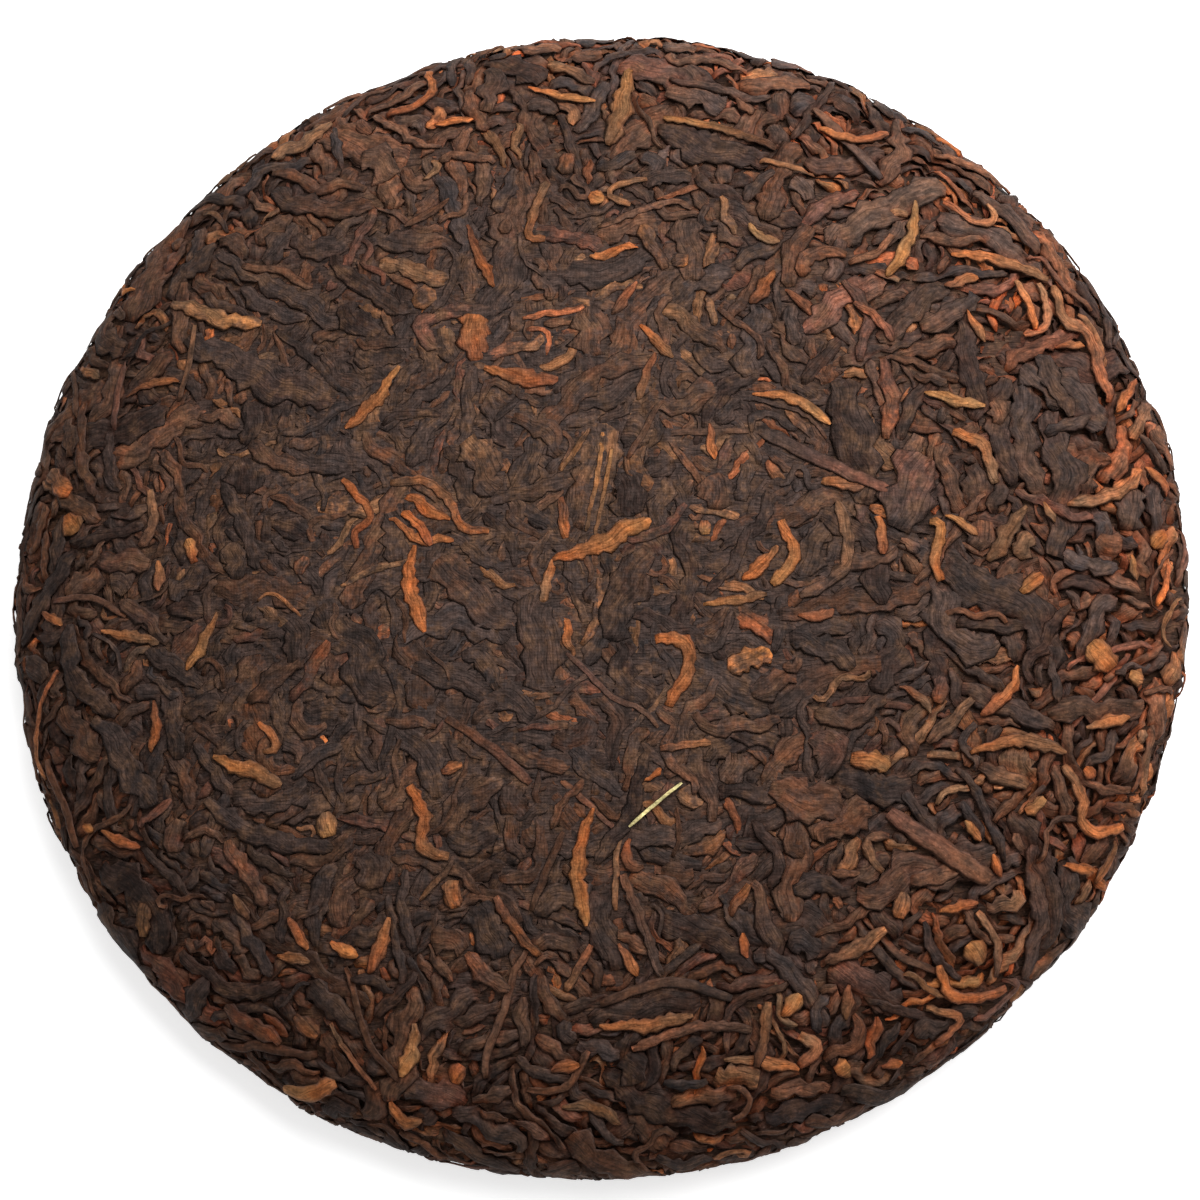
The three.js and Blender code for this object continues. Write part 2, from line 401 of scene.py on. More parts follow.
@dataclass
class Press:
    """The room left under the mould. Each leaf goes in under those before it and presses the next lower.

    Its reach is how far from the middle leaves start, and its cell the size of a cell of its map.
    """

    face: Face
    reach: float
    cell: float
    pressing: Pressing
    rng: np.random.Generator
    slope: float = 1.2
    substeps: int = 4
    margin: float = 2.0
    edge_inset: float = 0.5
    dips: Hills = Hills(0.5, ((0.35, 17.0), (0.25, 7.0)))
    dip_limit: float = 1.4
    drift_hills: Hills = Hills(0.0, ((0.2, 42.0), (0.12, 15.0)))
    blush_hills: Hills = Hills(0.0, ((0.05, 34.0),))
    # Painted light: leaves are made paler towards the upper right, where the key light stands, dark tones
    # most.
    paling_with_painted_light: tuple[float, float] = (0.0023, 0.0025)
    paling_of_tone: tuple[float, float] = (1.3, 3.2)
    least_paling: float = 0.2
    warmth_spread: float = 0.06
    shade_spread: float = 0.14
    swerve: float = 0.3
    swerve_lengths: tuple[tuple[float, float], ...] = ((3.0, 2.2), (1.5, 1.2))
    easing: float = 0.8
    edge_lengths: tuple[float, float, float] = (6.0, 2.6, 1.5)
    edge_limits: tuple[float, float] = (0.3, 1.7)
    thickness_shares: tuple[float, float] = (0.11, 1.25)
    least_drop: float = 0.02
    least_freedom: float = 0.1
    narrow_width: float = 0.8
    twist_limit: float = 0.1
    crumple_lengths: tuple[float, float] = (4.5, 2.4)
    tilt: float = 0.22
    end_reach: float = 1.5
    end_drop: float = 0.5
    bowing: float = 0.55
    base_columns: tuple[float, float] = (0.6, -0.6)
    least_thickness: float = 0.1
    deepest: float = 4.0
    seed_limit: float = 400.0
    easings: int = 3
    cover_pitch: float = 0.8

    def __post_init__(self) -> None:
        """Opens an empty press, with an uneven mould."""
        self.half = self.face.reach + self.margin
        self.count = int(2 * self.half / self.cell) + 1
        axis = (np.arange(self.count) + 0.5) * self.cell - self.half
        x, y = np.meshgrid(axis, axis)
        distance = np.hypot(x, y)
        dips = np.clip(self.dips.at(x, y, self.rng), 0, self.dip_limit)
        self.mould = -dips * self.pressing.at(x, y) - self.pressing.lumps(x, y)
        self.ceiling = self.mould.copy()
        self.drift = self.drift_hills.at(x, y, self.rng)
        self.blush = self.blush_hills.at(x, y, self.rng)
        self.free = distance < self.face.reach - self.edge_inset
        self.seeds = self.rng.permutation(np.flatnonzero(distance < self.reach))

    def cells(self, flat: np.ndarray) -> np.ndarray:
        """The map's cells that hold these places."""
        index = ((flat + self.half) / self.cell).astype(np.int64)
        index = np.clip(index, 0, self.count - 1)
        return index[..., 1] * self.count + index[..., 0]

    def centre(self, cell: int) -> np.ndarray:
        """The middle of one cell."""
        row, column = divmod(int(cell), self.count)
        return (np.array([column, row]) + 0.5) * self.cell - self.half

    def uncovered(self) -> float:
        """The share of the face that no leaf covers yet."""
        return float(self.free.ravel()[self.seeds].mean())

    def strip(self, kind: LeafKind, path: np.ndarray, width: float) -> Strip:
        """A leaf's uneven flat shape, in fine steps.

        Args:
            kind: The kind of leaf.
            path: Its middle line.
            width: Its greatest width.

        Returns:
            The strip.
        """
        fine = resampled(path, kind.step / self.substeps, self.substeps)
        steps = np.linalg.norm(np.diff(fine, axis=0), axis=1)
        along = np.concatenate(([0.0], np.cumsum(steps)))
        lengths = tuple(least + growth * width for least, growth in self.swerve_lengths)
        swerve = self.swerve * kind.ragged * width * waves(along, lengths, self.rng)
        fine = fine + swerve[:, None] * sideways_of(fine)
        sideways = sideways_of(eased(fine, round(self.easing * width / steps.mean())))
        half = 0.5 * width * kind.outline.widths(along / along[-1], self.rng)
        right, left = (
            half * np.clip(1 + kind.ragged * waves(along, self.edge_lengths, self.rng), *self.edge_limits)
            for _ in range(2)
        )
        return Strip(fine, sideways, right, left)

    def lay(self, kind: LeafKind, path: np.ndarray, width: float, tones: tuple[Tone, Tone], least: float,
            drop: float | None = None) -> Leaf | None:
        """Presses one leaf in under what lies there already.

        Args:
            kind: The kind of leaf.
            path: Its middle line on the flattened face.
            width: Its greatest width.
            tones: Its tones at its two ends.
            least: The least area of it that has to show, in square millimetres.
            drop: How far it lies below the mould, or None to draw it.

        Returns:
            The leaf, or None where too little of it would show.
        """
        strip = self.strip(kind, path, width)
        columns = kind.columns()
        flat, across = strip.spread(columns)
        cells = self.cells(flat)
        free = self.free.ravel()[cells]
        spacing = kind.step / self.substeps
        if free.mean(axis=1) @ (strip.left + strip.right) * spacing < least:
            return None
        rows = slice(None, None, self.substeps)
        level = self.level_under(self.ceiling.ravel()[cells], across[rows], kind)
        middle = strip.middle[len(strip.middle) // 2]
        loose = float(self.pressing.at(middle[0], middle[1]))
        if drop is None:
            drop = kind.drop * abs(self.rng.normal(0, 1)) * (self.least_drop + loose)
        thickness = kind.thickness * (self.thickness_shares[0] + self.thickness_shares[1] * loose)
        top = level - drop - self.relief(kind, strip.picked(rows), columns, loose, thickness)
        self.press_down(strip, top, thickness, columns)
        kept = self.kept_sections(free.any(axis=1), len(top))
        return self.finished(strip.picked(rows), top, thickness, columns, kept, tones)

    def level_under(self, ceiling: np.ndarray, across: np.ndarray, kind: LeafKind) -> np.ndarray:
        """The highest that each section and column of a leaf can lie.

        Args:
            ceiling: The ceiling at each fine step and column.
            across: How far to the side each section's columns lie.
            kind: The kind of leaf.

        Returns:
            Heights off the face.
        """
        lowest = np.minimum(ceiling, np.minimum(np.roll(ceiling, 1, axis=0), np.roll(ceiling, -1, axis=0)))
        level = lowest[:: self.substeps].copy()
        along_rise = self.slope * kind.step
        across_rise = self.slope * np.abs(np.diff(across, axis=1))
        for _ in range(self.easings):
            level[1:] = np.minimum(level[1:], level[:-1] + along_rise)
            level[:-1] = np.minimum(level[:-1], level[1:] + along_rise)
            level[:, 1:] = np.minimum(level[:, 1:], level[:, :-1] + across_rise)
            level[:, :-1] = np.minimum(level[:, :-1], level[:, 1:] + across_rise)
        return level

    def relief(self, kind: LeafKind, strip: Strip, columns: np.ndarray, loose: float,
               thickness: float) -> np.ndarray:
        """How far a leaf's top lies below its highest line: its rounded edges, ridges and sunken ends.

        Args:
            kind: The kind of leaf.
            strip: Its flat shape, section by section.
            columns: Where its columns lie across it.
            loose: How loosely it is pressed.
            thickness: Its thickness.

        Returns:
            Depths for each section and column.
        """
        rng = self.rng
        sections = len(strip.middle)
        along = kind.step * np.arange(sections)
        freedom = self.least_freedom + loose
        narrow = np.minimum(1, 0.5 * (strip.left + strip.right) / self.narrow_width)
        bulge = kind.bulge * freedom * narrow[:, None] * np.abs(columns)[None, :] ** 4
        twist = rng.uniform(-self.twist_limit, self.twist_limit) * along
        phase = rng.uniform(0, 2 * math.pi)
        turning = math.pi * kind.ridges * (columns[None, :] + twist[:, None]) + phase
        ridges = kind.ridge_height * freedom * 0.5 * (1 - np.cos(turning))
        crumpled = np.stack([1 + waves(along, self.crumple_lengths, rng) for _ in range(3)])
        rows = np.array([np.interp(columns, (-1, 0, 1), column) for column in crumpled.T])
        crumple = kind.crumple * freedom * rows
        tilt = freedom * rng.normal(0, self.tilt) * (1 + columns)[None, :]
        to_end = np.minimum(np.arange(sections), np.arange(sections)[::-1]) * kind.step
        ends = self.end_drop * thickness * np.clip(1 - to_end / self.end_reach, 0, 1) ** 2
        return bulge + ridges + crumple + np.abs(tilt) + ends[:, None]

    def kept_sections(self, free_rows: np.ndarray, sections: int) -> slice:
        """The run of sections from just before the first that shows to just after the last."""
        shown = np.flatnonzero(free_rows)
        first = max(0, shown[0] // self.substeps - 1)
        last = min(sections - 1, shown[-1] // self.substeps + 2)
        if last - first < 2:
            first = max(0, last - 2)
            last = min(sections - 1, first + 2)
        return slice(first, last + 1)

    def press_down(self, strip: Strip, top: np.ndarray, thickness: float, columns: np.ndarray) -> None:
        """Lowers the ceiling under a leaf, and marks what it covers.

        Args:
            strip: Its flat shape in fine steps.
            top: Its top at each section and column.
            thickness: Its thickness.
            columns: Where its columns lie across it.
        """
        wanted = int((strip.left.max() + strip.right.max()) / (self.cover_pitch * self.cell)) + 2
        places = np.linspace(-1, 1, wanted)
        weights = np.stack([np.interp(places, columns, unit) for unit in np.eye(len(columns))])
        at = np.arange(len(strip.middle)) / self.substeps
        low = np.minimum(at.astype(int), len(top) - 2)
        part = (at - low)[:, None]
        rows = top[low] * (1 - part) + top[low + 1] * part
        under = rows @ weights - thickness * (1 - self.bowing * places[None, :] ** 2)
        cells = self.cells(strip.spread(places)[0]).ravel()
        order = np.argsort(-under.ravel(), kind="stable")
        cells, under = cells[order], under.ravel()[order]
        ceiling = self.ceiling.ravel()
        lowered = np.minimum(ceiling[cells], under)
        ceiling[cells] = lowered
        self.free.ravel()[cells] = False

    def finished(self, strip: Strip, top: np.ndarray, thickness: float, columns: np.ndarray, kept: slice,
                 tones: tuple[Tone, Tone]) -> Leaf:
        """Closes a leaf's rings and gives it its colour.

        Args:
            strip: Its flat shape, section by section.
            top: Its top at each section and column.
            thickness: Its thickness.
            columns: Where its columns lie across it.
            kept: The sections that are kept.
            tones: Its tones at its two ends.

        Returns:
            The finished leaf.
        """
        share = np.linspace(0, 1, len(top))[kept]
        strip, top = strip.picked(kept), top[kept]
        ring = np.concatenate((columns, self.base_columns))
        base = top.max(axis=1, keepdims=True) - thickness
        edges = (slice(-1, None), slice(0, 1))
        under = [np.minimum(base, top[:, edge] - self.least_thickness) for edge in edges]
        lift = np.concatenate((top, *under), axis=1)
        flat, across = strip.spread(ring)
        steps = np.linalg.norm(np.diff(strip.middle, axis=0), axis=1)
        length = np.concatenate(([0.0], np.cumsum(steps)))
        shape = lift.shape
        seed = np.full(shape, self.rng.uniform(0, self.seed_limit))
        grain = np.stack((np.broadcast_to(length[:, None], shape), across, seed), axis=-1)
        depth = np.clip(self.mould.ravel()[self.cells(flat)] - lift, 0, self.deepest)
        rimward = self.pressing.at(flat[..., 0], flat[..., 1]) / self.pressing.rim
        # Edge and depth feed the painted shade at the edges and deep between leaves.
        form = np.stack((np.broadcast_to(np.abs(ring) ** 3, shape), depth, rimward), axis=-1)
        turn = (share * share * (3 - 2 * share))[:, None, None]
        colour = np.array(tones[0].value) * (1 - turn) + np.array(tones[1].value) * turn
        # The tint holds painted light: leaves paler towards the upper right.
        tint = self.tint(strip.middle[len(strip.middle) // 2], tones[0])
        return Leaf(flat, lift, grain, form, np.broadcast_to(colour * tint, (*shape, 3)))

    def tint(self, middle: np.ndarray, tone: Tone) -> np.ndarray:
        """A leaf's shade: paler to the upper right, dark tones most, which is painted light, and a little
        warmer or cooler.

        Args:
            middle: The leaf's middle.
            tone: Its tone.

        Returns:
            A factor for each channel.
        """
        cell = self.cells(middle)
        warmth = self.rng.normal(0, self.warmth_spread) + self.blush.ravel()[cell]
        # Painted light from the upper right, plus random drift.
        paling_with_painted_light = self.paling_with_painted_light[0] * middle[0] + self.paling_with_painted_light[1] * middle[1] + self.drift.ravel()[cell]
        most, fall = self.paling_of_tone
        paling_with_painted_light *= np.clip(most - fall * tone.value[0], self.least_paling, 1)
        shade = math.exp(self.rng.normal(0, self.shade_spread) + paling_with_painted_light)
        return shade * np.array([1 + warmth, 1.0, 1 - warmth])


def sideways_of(line: np.ndarray) -> np.ndarray:
    """The direction to the left of a line at each of its points."""
    run = np.gradient(line, axis=0)
    run /= np.maximum(np.linalg.norm(run, axis=1), 1e-6)[:, None]
    return np.column_stack((-run[:, 1], run[:, 0]))


def eased(line: np.ndarray, reach: int) -> np.ndarray:
    """A line with its small bends evened out, so that a wide leaf along it doesn't fold over itself.

    Args:
        line: Its points.
        reach: How many points on either side are weighed in.

    Returns:
        As many points.
    """
    reach = max(1, min(reach, len(line) - 2))
    before = 2 * line[0] - line[reach:0:-1]
    after = 2 * line[-1] - line[-2 : -reach - 2 : -1]
    weights = np.hanning(2 * reach + 3)[1:-1]
    padded = np.concatenate((before, line, after))
    weights /= weights.sum()
    return np.column_stack([np.convolve(padded[:, axis], weights, "valid") for axis in (0, 1)])


def resampled(path: np.ndarray, step: float, substeps: int) -> np.ndarray:
    """A path in even steps.

    Args:
        path: Points on a line.
        step: The wanted step.
        substeps: The number of steps is a multiple of this.

    Returns:
        Points at about the wanted step, on the same line.
    """
    lengths = np.linalg.norm(np.diff(path, axis=0), axis=1)
    along = np.concatenate(([0.0], np.cumsum(lengths)))
    sections = max(3, round(along[-1] / (step * substeps)))
    wanted = np.linspace(0, along[-1], sections * substeps + 1)
    return np.column_stack([np.interp(wanted, along, path[:, axis]) for axis in (0, 1)])


def rounded(points: np.ndarray, rounds: int = 3, cut: float = 0.25) -> np.ndarray:
    """A path with its corners cut off again and again.

    Args:
        points: The path's own points.
        rounds: How often the corners are cut.
        cut: The share of each side that a cut takes.

    Returns:
        A smooth path with the same ends.
    """
    for _ in range(rounds):
        if len(points) < 3:
            return points
        first = (1 - cut) * points[:-1] + cut * points[1:]
        second = cut * points[:-1] + (1 - cut) * points[1:]
        inner = np.stack((first, second), axis=1).reshape(-1, 2)
        points = np.concatenate((points[:1], inner[1:-1], points[-1:]))
    return points


LINE_POINTS = 25
HOOK = 1.2
HOOK_GROWTH = 2.5
WOBBLE = 0.16


def wandering(centre: np.ndarray, heading: float, length: float, kind: LeafKind,
              rng: np.random.Generator) -> np.ndarray:
    """The middle line of a leaf that bends as its kind does, sways, hooks towards one end and wobbles.

    Args:
        centre: Its middle.
        heading: Its direction there.
        length: Its length.
        kind: Its kind.
        rng: Draws its bends.

    Returns:
        Points of the line.
    """
    share = np.linspace(-0.5, 0.5, LINE_POINTS)
    bend = rng.normal(0, kind.bend)
    hook = rng.normal(0, kind.bend) * HOOK
    sway = rng.normal(0, kind.sway)
    turning = heading + bend * share + sway * np.sin(2 * math.pi * share * rng.uniform(0.7, 1.8))
    turning += hook * np.clip(share - rng.uniform(-0.1, 0.3), 0, 1) * HOOK_GROWTH
    turning += rng.normal(0, WOBBLE, len(share))
    steps = np.column_stack((np.cos(turning), np.sin(turning))) * length / (len(share) - 1)
    line = np.cumsum(steps, axis=0)
    return centre + line - line[len(line) // 2]


@dataclass
class LeafPile:
    """All leaves of one piece on a face, gathered into one mesh."""

    name: str
    face: Face
    leaves: list[Leaf] = field(default_factory=list)
    map_gap: float = 0.25
    map_slack: float = 1.06
    map_margin: float = 0.05
    underside: tuple[float, float, float] = (0.15, 0.5, 0.65)

    def triangles(self) -> int:
        """How many triangles the pile's mesh has."""
        return sum(2 * (leaf.lift.size - 2) for leaf in self.leaves)

    def atlas(self) -> list[tuple[float, float]]:
        """Packs one rectangle for each leaf into rows of a square map.

        Returns:
            Each leaf's corner on the map, in millimetres, and last the map's width and height.
        """
        sizes = [self.patch(leaf) for leaf in self.leaves]
        gap = self.map_gap
        area = sum((u[-1] + gap) * (v[-1] + gap) for u, v in sizes)
        width = max(math.sqrt(area) * self.map_slack, max(u[-1] for u, _ in sizes) + gap)
        order = sorted(range(len(sizes)), key=lambda i: -sizes[i][1][-1])
        corners: list[tuple[float, float]] = [(0.0, 0.0)] * len(sizes)
        x, y, row = 0.0, 0.0, 0.0
        for i in order:
            u, v = sizes[i]
            if x + u[-1] + gap > width:
                x, y, row = 0.0, y + row, 0.0
            corners[i] = (x, y)
            x += u[-1] + gap
            row = max(row, v[-1] + gap)
        corners.append((width, max(y + row, 1.0)))
        return corners

    def patch(self, leaf: Leaf) -> tuple[np.ndarray, np.ndarray]:
        """A leaf's own map: places along it, and places round its ring with the first one repeated."""
        along = leaf.grain[:, 0, 0] - leaf.grain[0, 0, 0]
        top = leaf.lift.shape[1] - 2
        steps = np.abs(np.diff(leaf.grain[:, :top, 1], axis=1)).max(axis=0) + self.map_margin
        around = np.concatenate(([0.0], np.cumsum(steps)))
        under = around[-1] + np.array(self.underside)
        return along, np.concatenate((around, under))

    def tube_map(self, leaf: Leaf) -> np.ndarray:
        """The corners of a leaf's quads on its own map, in the order of tube()."""
        u, v = self.patch(leaf)
        u0, v0 = np.meshgrid(u[:-1], v[:-1], indexing="ij")
        u1, v1 = np.meshgrid(u[1:], v[1:], indexing="ij")
        side = np.stack((u0, v0, u1, v0, u1, v1, u0, v1), axis=-1).reshape(-1, 4, 2)
        cap = ladder(leaf.lift.shape[1])
        first = np.stack((0 * cap + u[0], v[cap]), axis=-1)
        last = np.stack((0 * cap + u[-1], v[cap[:, ::-1]]), axis=-1)
        return np.concatenate((side, first, last))

    def build(self, finish: bpy.types.Material, slot: str) -> bpy.types.Object:
        """Makes the mesh.

        Args:
            finish: Its material.
            slot: The record's slot that it stands for; not used.

        Returns:
            The piece, riding on the cake's body.
        """
        points, quads, grain, form, tone, maps = [], [], [], [], [], []
        corners = self.atlas()
        size = max(corners[-1])
        start = 0
        for leaf, corner in zip(self.leaves, corners):
            rows, ring = leaf.lift.shape
            points.append(self.face.place(leaf.flat, leaf.lift).reshape(-1, 3))
            grain.append(leaf.grain.reshape(-1, 3))
            form.append(leaf.form.reshape(-1, 3))
            tone.append(leaf.tone.reshape(-1, 3))
            quads.append(start + tube(rows, ring))
            maps.append((self.tube_map(leaf) + corner) / size)
            start += rows * ring
        faces = np.concatenate(quads)
        uv = np.concatenate(maps)
        if self.face.mirrored:
            faces, uv = faces[:, ::-1], uv[:, ::-1]
        mesh = quad_mesh(self.name, np.concatenate(points) * MM, faces)
        layer = mesh.uv_layers.new(name="OFBake")
        layer.uv.foreach_set("vector", uv.astype(np.float32).ravel())
        dress(mesh, grain, form, tone)
        return finished_piece(self.name, mesh, finish)


def ladder(ring: int) -> np.ndarray:
    """Quads that close a ring of an even number of points, from rung to rung."""
    rung = np.arange(ring // 2 - 1)
    return np.stack((rung, rung + 1, ring - 2 - rung, ring - 1 - rung), axis=-1)


def tube(rows: int, ring: int) -> np.ndarray:
    """Quads round a row of rings of points, and over its first and last ring.

    Args:
        rows: How many rings there are.
        ring: How many points a ring has, which is even.

    Returns:
        Four point numbers for each quad.
    """
    i = np.arange(rows - 1)[:, None]
    j = np.arange(ring)[None, :]
    after = (j + 1) % ring
    corners = (i * ring + j, (i + 1) * ring + j, (i + 1) * ring + after, i * ring + after)
    cap = ladder(ring)
    return np.concatenate((np.stack(corners, axis=-1).reshape(-1, 4), cap, (rows - 1) * ring + cap[:, ::-1]))


def quad_mesh(name: str, points: np.ndarray, faces: np.ndarray) -> bpy.types.Mesh:
    """A smooth mesh from arrays.

    Args:
        name: Its name.
        points: Its points, in metres.
        faces: Four point numbers for each face.

    Returns:
        The mesh.
    """
    mesh = bpy.data.meshes.new(name)
    mesh.vertices.add(len(points))
    mesh.vertices.foreach_set("co", points.astype(np.float32).ravel())
    mesh.loops.add(faces.size)
    mesh.loops.foreach_set("vertex_index", faces.astype(np.int32).ravel())
    mesh.polygons.add(len(faces))
    mesh.polygons.foreach_set("loop_start", np.arange(0, faces.size, 4, dtype=np.int32))
    mesh.polygons.foreach_set("use_smooth", np.ones(len(faces), dtype=bool))
    mesh.update(calc_edges=True)
    return mesh


def dress(mesh: bpy.types.Mesh, grain: list[np.ndarray], form: list[np.ndarray],
          tone: list[np.ndarray]) -> None:
    """Gives each point of a mesh what its material reads.

    Args:
        mesh: The mesh.
        grain: Places along and across the leaves, part by part.
        form: How near a leaf's edge, how deep and how near the rim each point lies, part by part.
        tone: Linear colours, part by part.
    """
    for name, parts in (("grain", grain), ("form", form)):
        attribute = mesh.attributes.new(name, "FLOAT_VECTOR", "POINT")
        attribute.data.foreach_set("vector", np.concatenate(parts).astype(np.float32).ravel())
    attribute = mesh.attributes.new("tone", "FLOAT_COLOR", "POINT")
    colours = np.concatenate(tone)
    colours = np.column_stack((colours, np.ones(len(colours))))
    attribute.data.foreach_set("color", colours.astype(np.float32).ravel())


def finished_piece(name: str, mesh: bpy.types.Mesh, finish: bpy.types.Material) -> bpy.types.Object:
    """A piece of the cake in place of its solid.

    Args:
        name: Its name.
        mesh: Its mesh.
        finish: Its material.

    Returns:
        The piece, riding on the cake's body.
    """
    piece = bpy.data.objects.new(name, mesh)
    bpy.context.scene.collection.objects.link(piece)
    mesh.materials.append(finish)
    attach(piece, "root")
    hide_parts("tea_cake")
    return piece


BROAD = LeafKind(
    piece="broad_leaves", length=(12, 32), width=(3.4, 8.5), thickness=0.5, drop=0.3,
    bulge=0.32, ridges=3, ridge_height=0.36, crumple=0.14,
    bend=0.45, sway=0.2, ragged=0.32, outline=Outline.SPINDLE, across=8, step=1.5,
    tones={Tone.SLATE: 0.52, Tone.SOOT: 0.15, Tone.UMBER: 0.3, Tone.CHESTNUT: 0.03},
)
ROLLED = LeafKind(
    piece="rolled_leaves", length=(7, 24), width=(1.4, 4.2), thickness=0.6, drop=0.4,
    bulge=0.5, ridges=2, ridge_height=0.36, crumple=0.16,
    bend=0.6, sway=0.3, ragged=0.28, outline=Outline.SPINDLE, across=6, step=1.25,
    tones={Tone.SLATE: 0.6, Tone.SOOT: 0.25, Tone.UMBER: 0.15},
)
BROWN = LeafKind(
    piece="brown_leaves", length=(6, 20), width=(1.3, 3.8), thickness=0.6, drop=0.4,
    bulge=0.5, ridges=2, ridge_height=0.36, crumple=0.16,
    bend=0.6, sway=0.3, ragged=0.28, outline=Outline.SPINDLE, across=6, step=1.2,
    tones={Tone.UMBER: 0.6, Tone.TAN: 0.16, Tone.CHESTNUT: 0.2, Tone.RUST: 0.04},
)
TWIST = LeafKind(
    piece="twisted_leaves", length=(6, 17), width=(0.7, 1.9), thickness=0.7, drop=0.4,
    bulge=0.5, ridges=1, ridge_height=0.24, crumple=0.12,
    bend=0.9, sway=0.5, ragged=0.22, outline=Outline.STICK, across=6, step=0.95,
    tones={Tone.SLATE: 0.36, Tone.UMBER: 0.36, Tone.TAN: 0.14, Tone.RUST: 0.07, Tone.CHESTNUT: 0.07},
)
BUD = LeafKind(
    piece="golden_buds", length=(4.5, 13), width=(1.2, 2.7), thickness=0.65, drop=0.3,
    bulge=0.5, ridges=1, ridge_height=0.3, crumple=0.12,
    bend=0.6, sway=0.3, ragged=0.22, outline=Outline.BUD, across=6, step=0.9,
    tones={Tone.RUST: 0.4, Tone.ORANGE: 0.2, Tone.TAN: 0.36, Tone.GOLD: 0.04},
)
STEM = LeafKind(
    piece="stems", length=(10, 24), width=(1.0, 1.9), thickness=0.8, drop=0.3,
    bulge=0.5, ridges=1, ridge_height=0.14, crumple=0.05,
    bend=0.25, sway=0.15, ragged=0.1, outline=Outline.STICK, across=6, step=1.3,
    tones={Tone.UMBER: 0.5, Tone.TAN: 0.25, Tone.CHESTNUT: 0.25},
)
FLAKE = LeafKind(
    piece="flakes", length=(4, 14), width=(2.2, 6.5), thickness=0.4, drop=0.3,
    bulge=0.28, ridges=3, ridge_height=0.28, crumple=0.18,
    bend=0.4, sway=0.2, ragged=0.36, outline=Outline.CHIP, across=8, step=1.2,
    tones={Tone.SLATE: 0.45, Tone.SOOT: 0.1, Tone.UMBER: 0.33, Tone.TAN: 0.07, Tone.CHESTNUT: 0.05},
)
CHIP = LeafKind(
    piece="crumbs", length=(2.0, 6.0), width=(1.3, 3.2), thickness=0.6, drop=0.5,
    bulge=0.45, ridges=1, ridge_height=0.24, crumple=0.12,
    bend=0.6, sway=0.3, ragged=0.24, outline=Outline.CHIP, across=6, step=0.9,
    tones={Tone.SLATE: 0.4, Tone.UMBER: 0.36, Tone.TAN: 0.12, Tone.RUST: 0.08, Tone.ORANGE: 0.04},
)


@dataclass(frozen=True)
class SeenLeaf:
    """A leaf that stands out in the photo: its tone, its width in millimetres, its line in photo pixels."""

    tone: Tone
    width: float
    pixels: tuple[tuple[int, int], ...]
    end_tone: Tone | None = None
    kind: LeafKind = BUD
    drop: float = 0.0

    def piece(self) -> str:
        """The piece that it belongs to. Bright leaves lie with the buds, which are less dusty."""
        return BUD.piece if self.tone in (Tone.ORANGE, Tone.GOLD) else self.kind.piece


SEEN_AT_TOP = (
    SeenLeaf(Tone.GOLD, 3.4, ((631, 66), (622, 100), (609, 143)), Tone.TAN),
    SeenLeaf(Tone.ORANGE, 1.6, ((527, 84), (560, 95), (596, 99)), Tone.GOLD),
    SeenLeaf(Tone.GOLD, 1.6, ((663, 115), (720, 125), (777, 145)), Tone.UMBER, TWIST),
    SeenLeaf(Tone.TAN, 1.5, ((547, 181), (535, 205), (525, 240), (545, 237)), Tone.ORANGE, TWIST),
    SeenLeaf(Tone.ORANGE, 2.3, ((589, 194), (604, 197)), Tone.GOLD, CHIP),
    SeenLeaf(Tone.TAN, 1.1, ((647, 178), (612, 184), (608, 196), (630, 204)), None, TWIST),
    SeenLeaf(Tone.RUST, 1.7, ((467, 224), (478, 255), (494, 286)), Tone.ORANGE),
    SeenLeaf(Tone.ORANGE, 4.6, ((472, 314), (477, 360)), Tone.RUST, CHIP),
    SeenLeaf(Tone.ORANGE, 2.8, ((484, 367), (520, 378), (558, 380)), Tone.RUST),
    SeenLeaf(Tone.RUST, 1.7, ((637, 281), (612, 314)), Tone.UMBER),
    SeenLeaf(Tone.ORANGE, 1.7, ((640, 324), (673, 357)), Tone.TAN),
    SeenLeaf(Tone.RUST, 1.6, ((655, 352), (645, 378), (637, 400)), Tone.TAN),
    SeenLeaf(Tone.ORANGE, 2.2, ((775, 270), (751, 303)), Tone.RUST),
    SeenLeaf(Tone.GOLD, 1.7, ((749, 222), (762, 238), (780, 240)), Tone.TAN),
    SeenLeaf(Tone.TAN, 2.4, ((642, 224), (665, 268)), Tone.UMBER, ROLLED),
    SeenLeaf(Tone.TAN, 3.0, ((565, 172), (567, 152)), Tone.RUST, CHIP),
)

SEEN_UPPER_LEFT = (
    SeenLeaf(Tone.TAN, 2.8, ((171, 301), (215, 318), (260, 324)), Tone.GOLD, ROLLED),
    SeenLeaf(Tone.TAN, 0.9, ((194, 324), (190, 360), (178, 400)), Tone.UMBER, STEM),
    SeenLeaf(Tone.RUST, 1.5, ((125, 396), (150, 380), (178, 380)), Tone.ORANGE),
    SeenLeaf(Tone.GOLD, 2.1, ((398, 365), (378, 400), (345, 428)), Tone.ORANGE),
    SeenLeaf(Tone.ORANGE, 1.6, ((427, 66), (434, 92), (410, 106), (385, 112)), Tone.RUST, TWIST),
    SeenLeaf(Tone.ORANGE, 1.6, ((78, 366), (96, 376)), Tone.TAN, CHIP),
    SeenLeaf(Tone.SLATE, 5.6, ((188, 336), (250, 372), (330, 402)), Tone.SOOT, BROAD),
    SeenLeaf(Tone.SLATE, 3.4, ((272, 190), (318, 212), (372, 204)), Tone.UMBER, ROLLED),
)

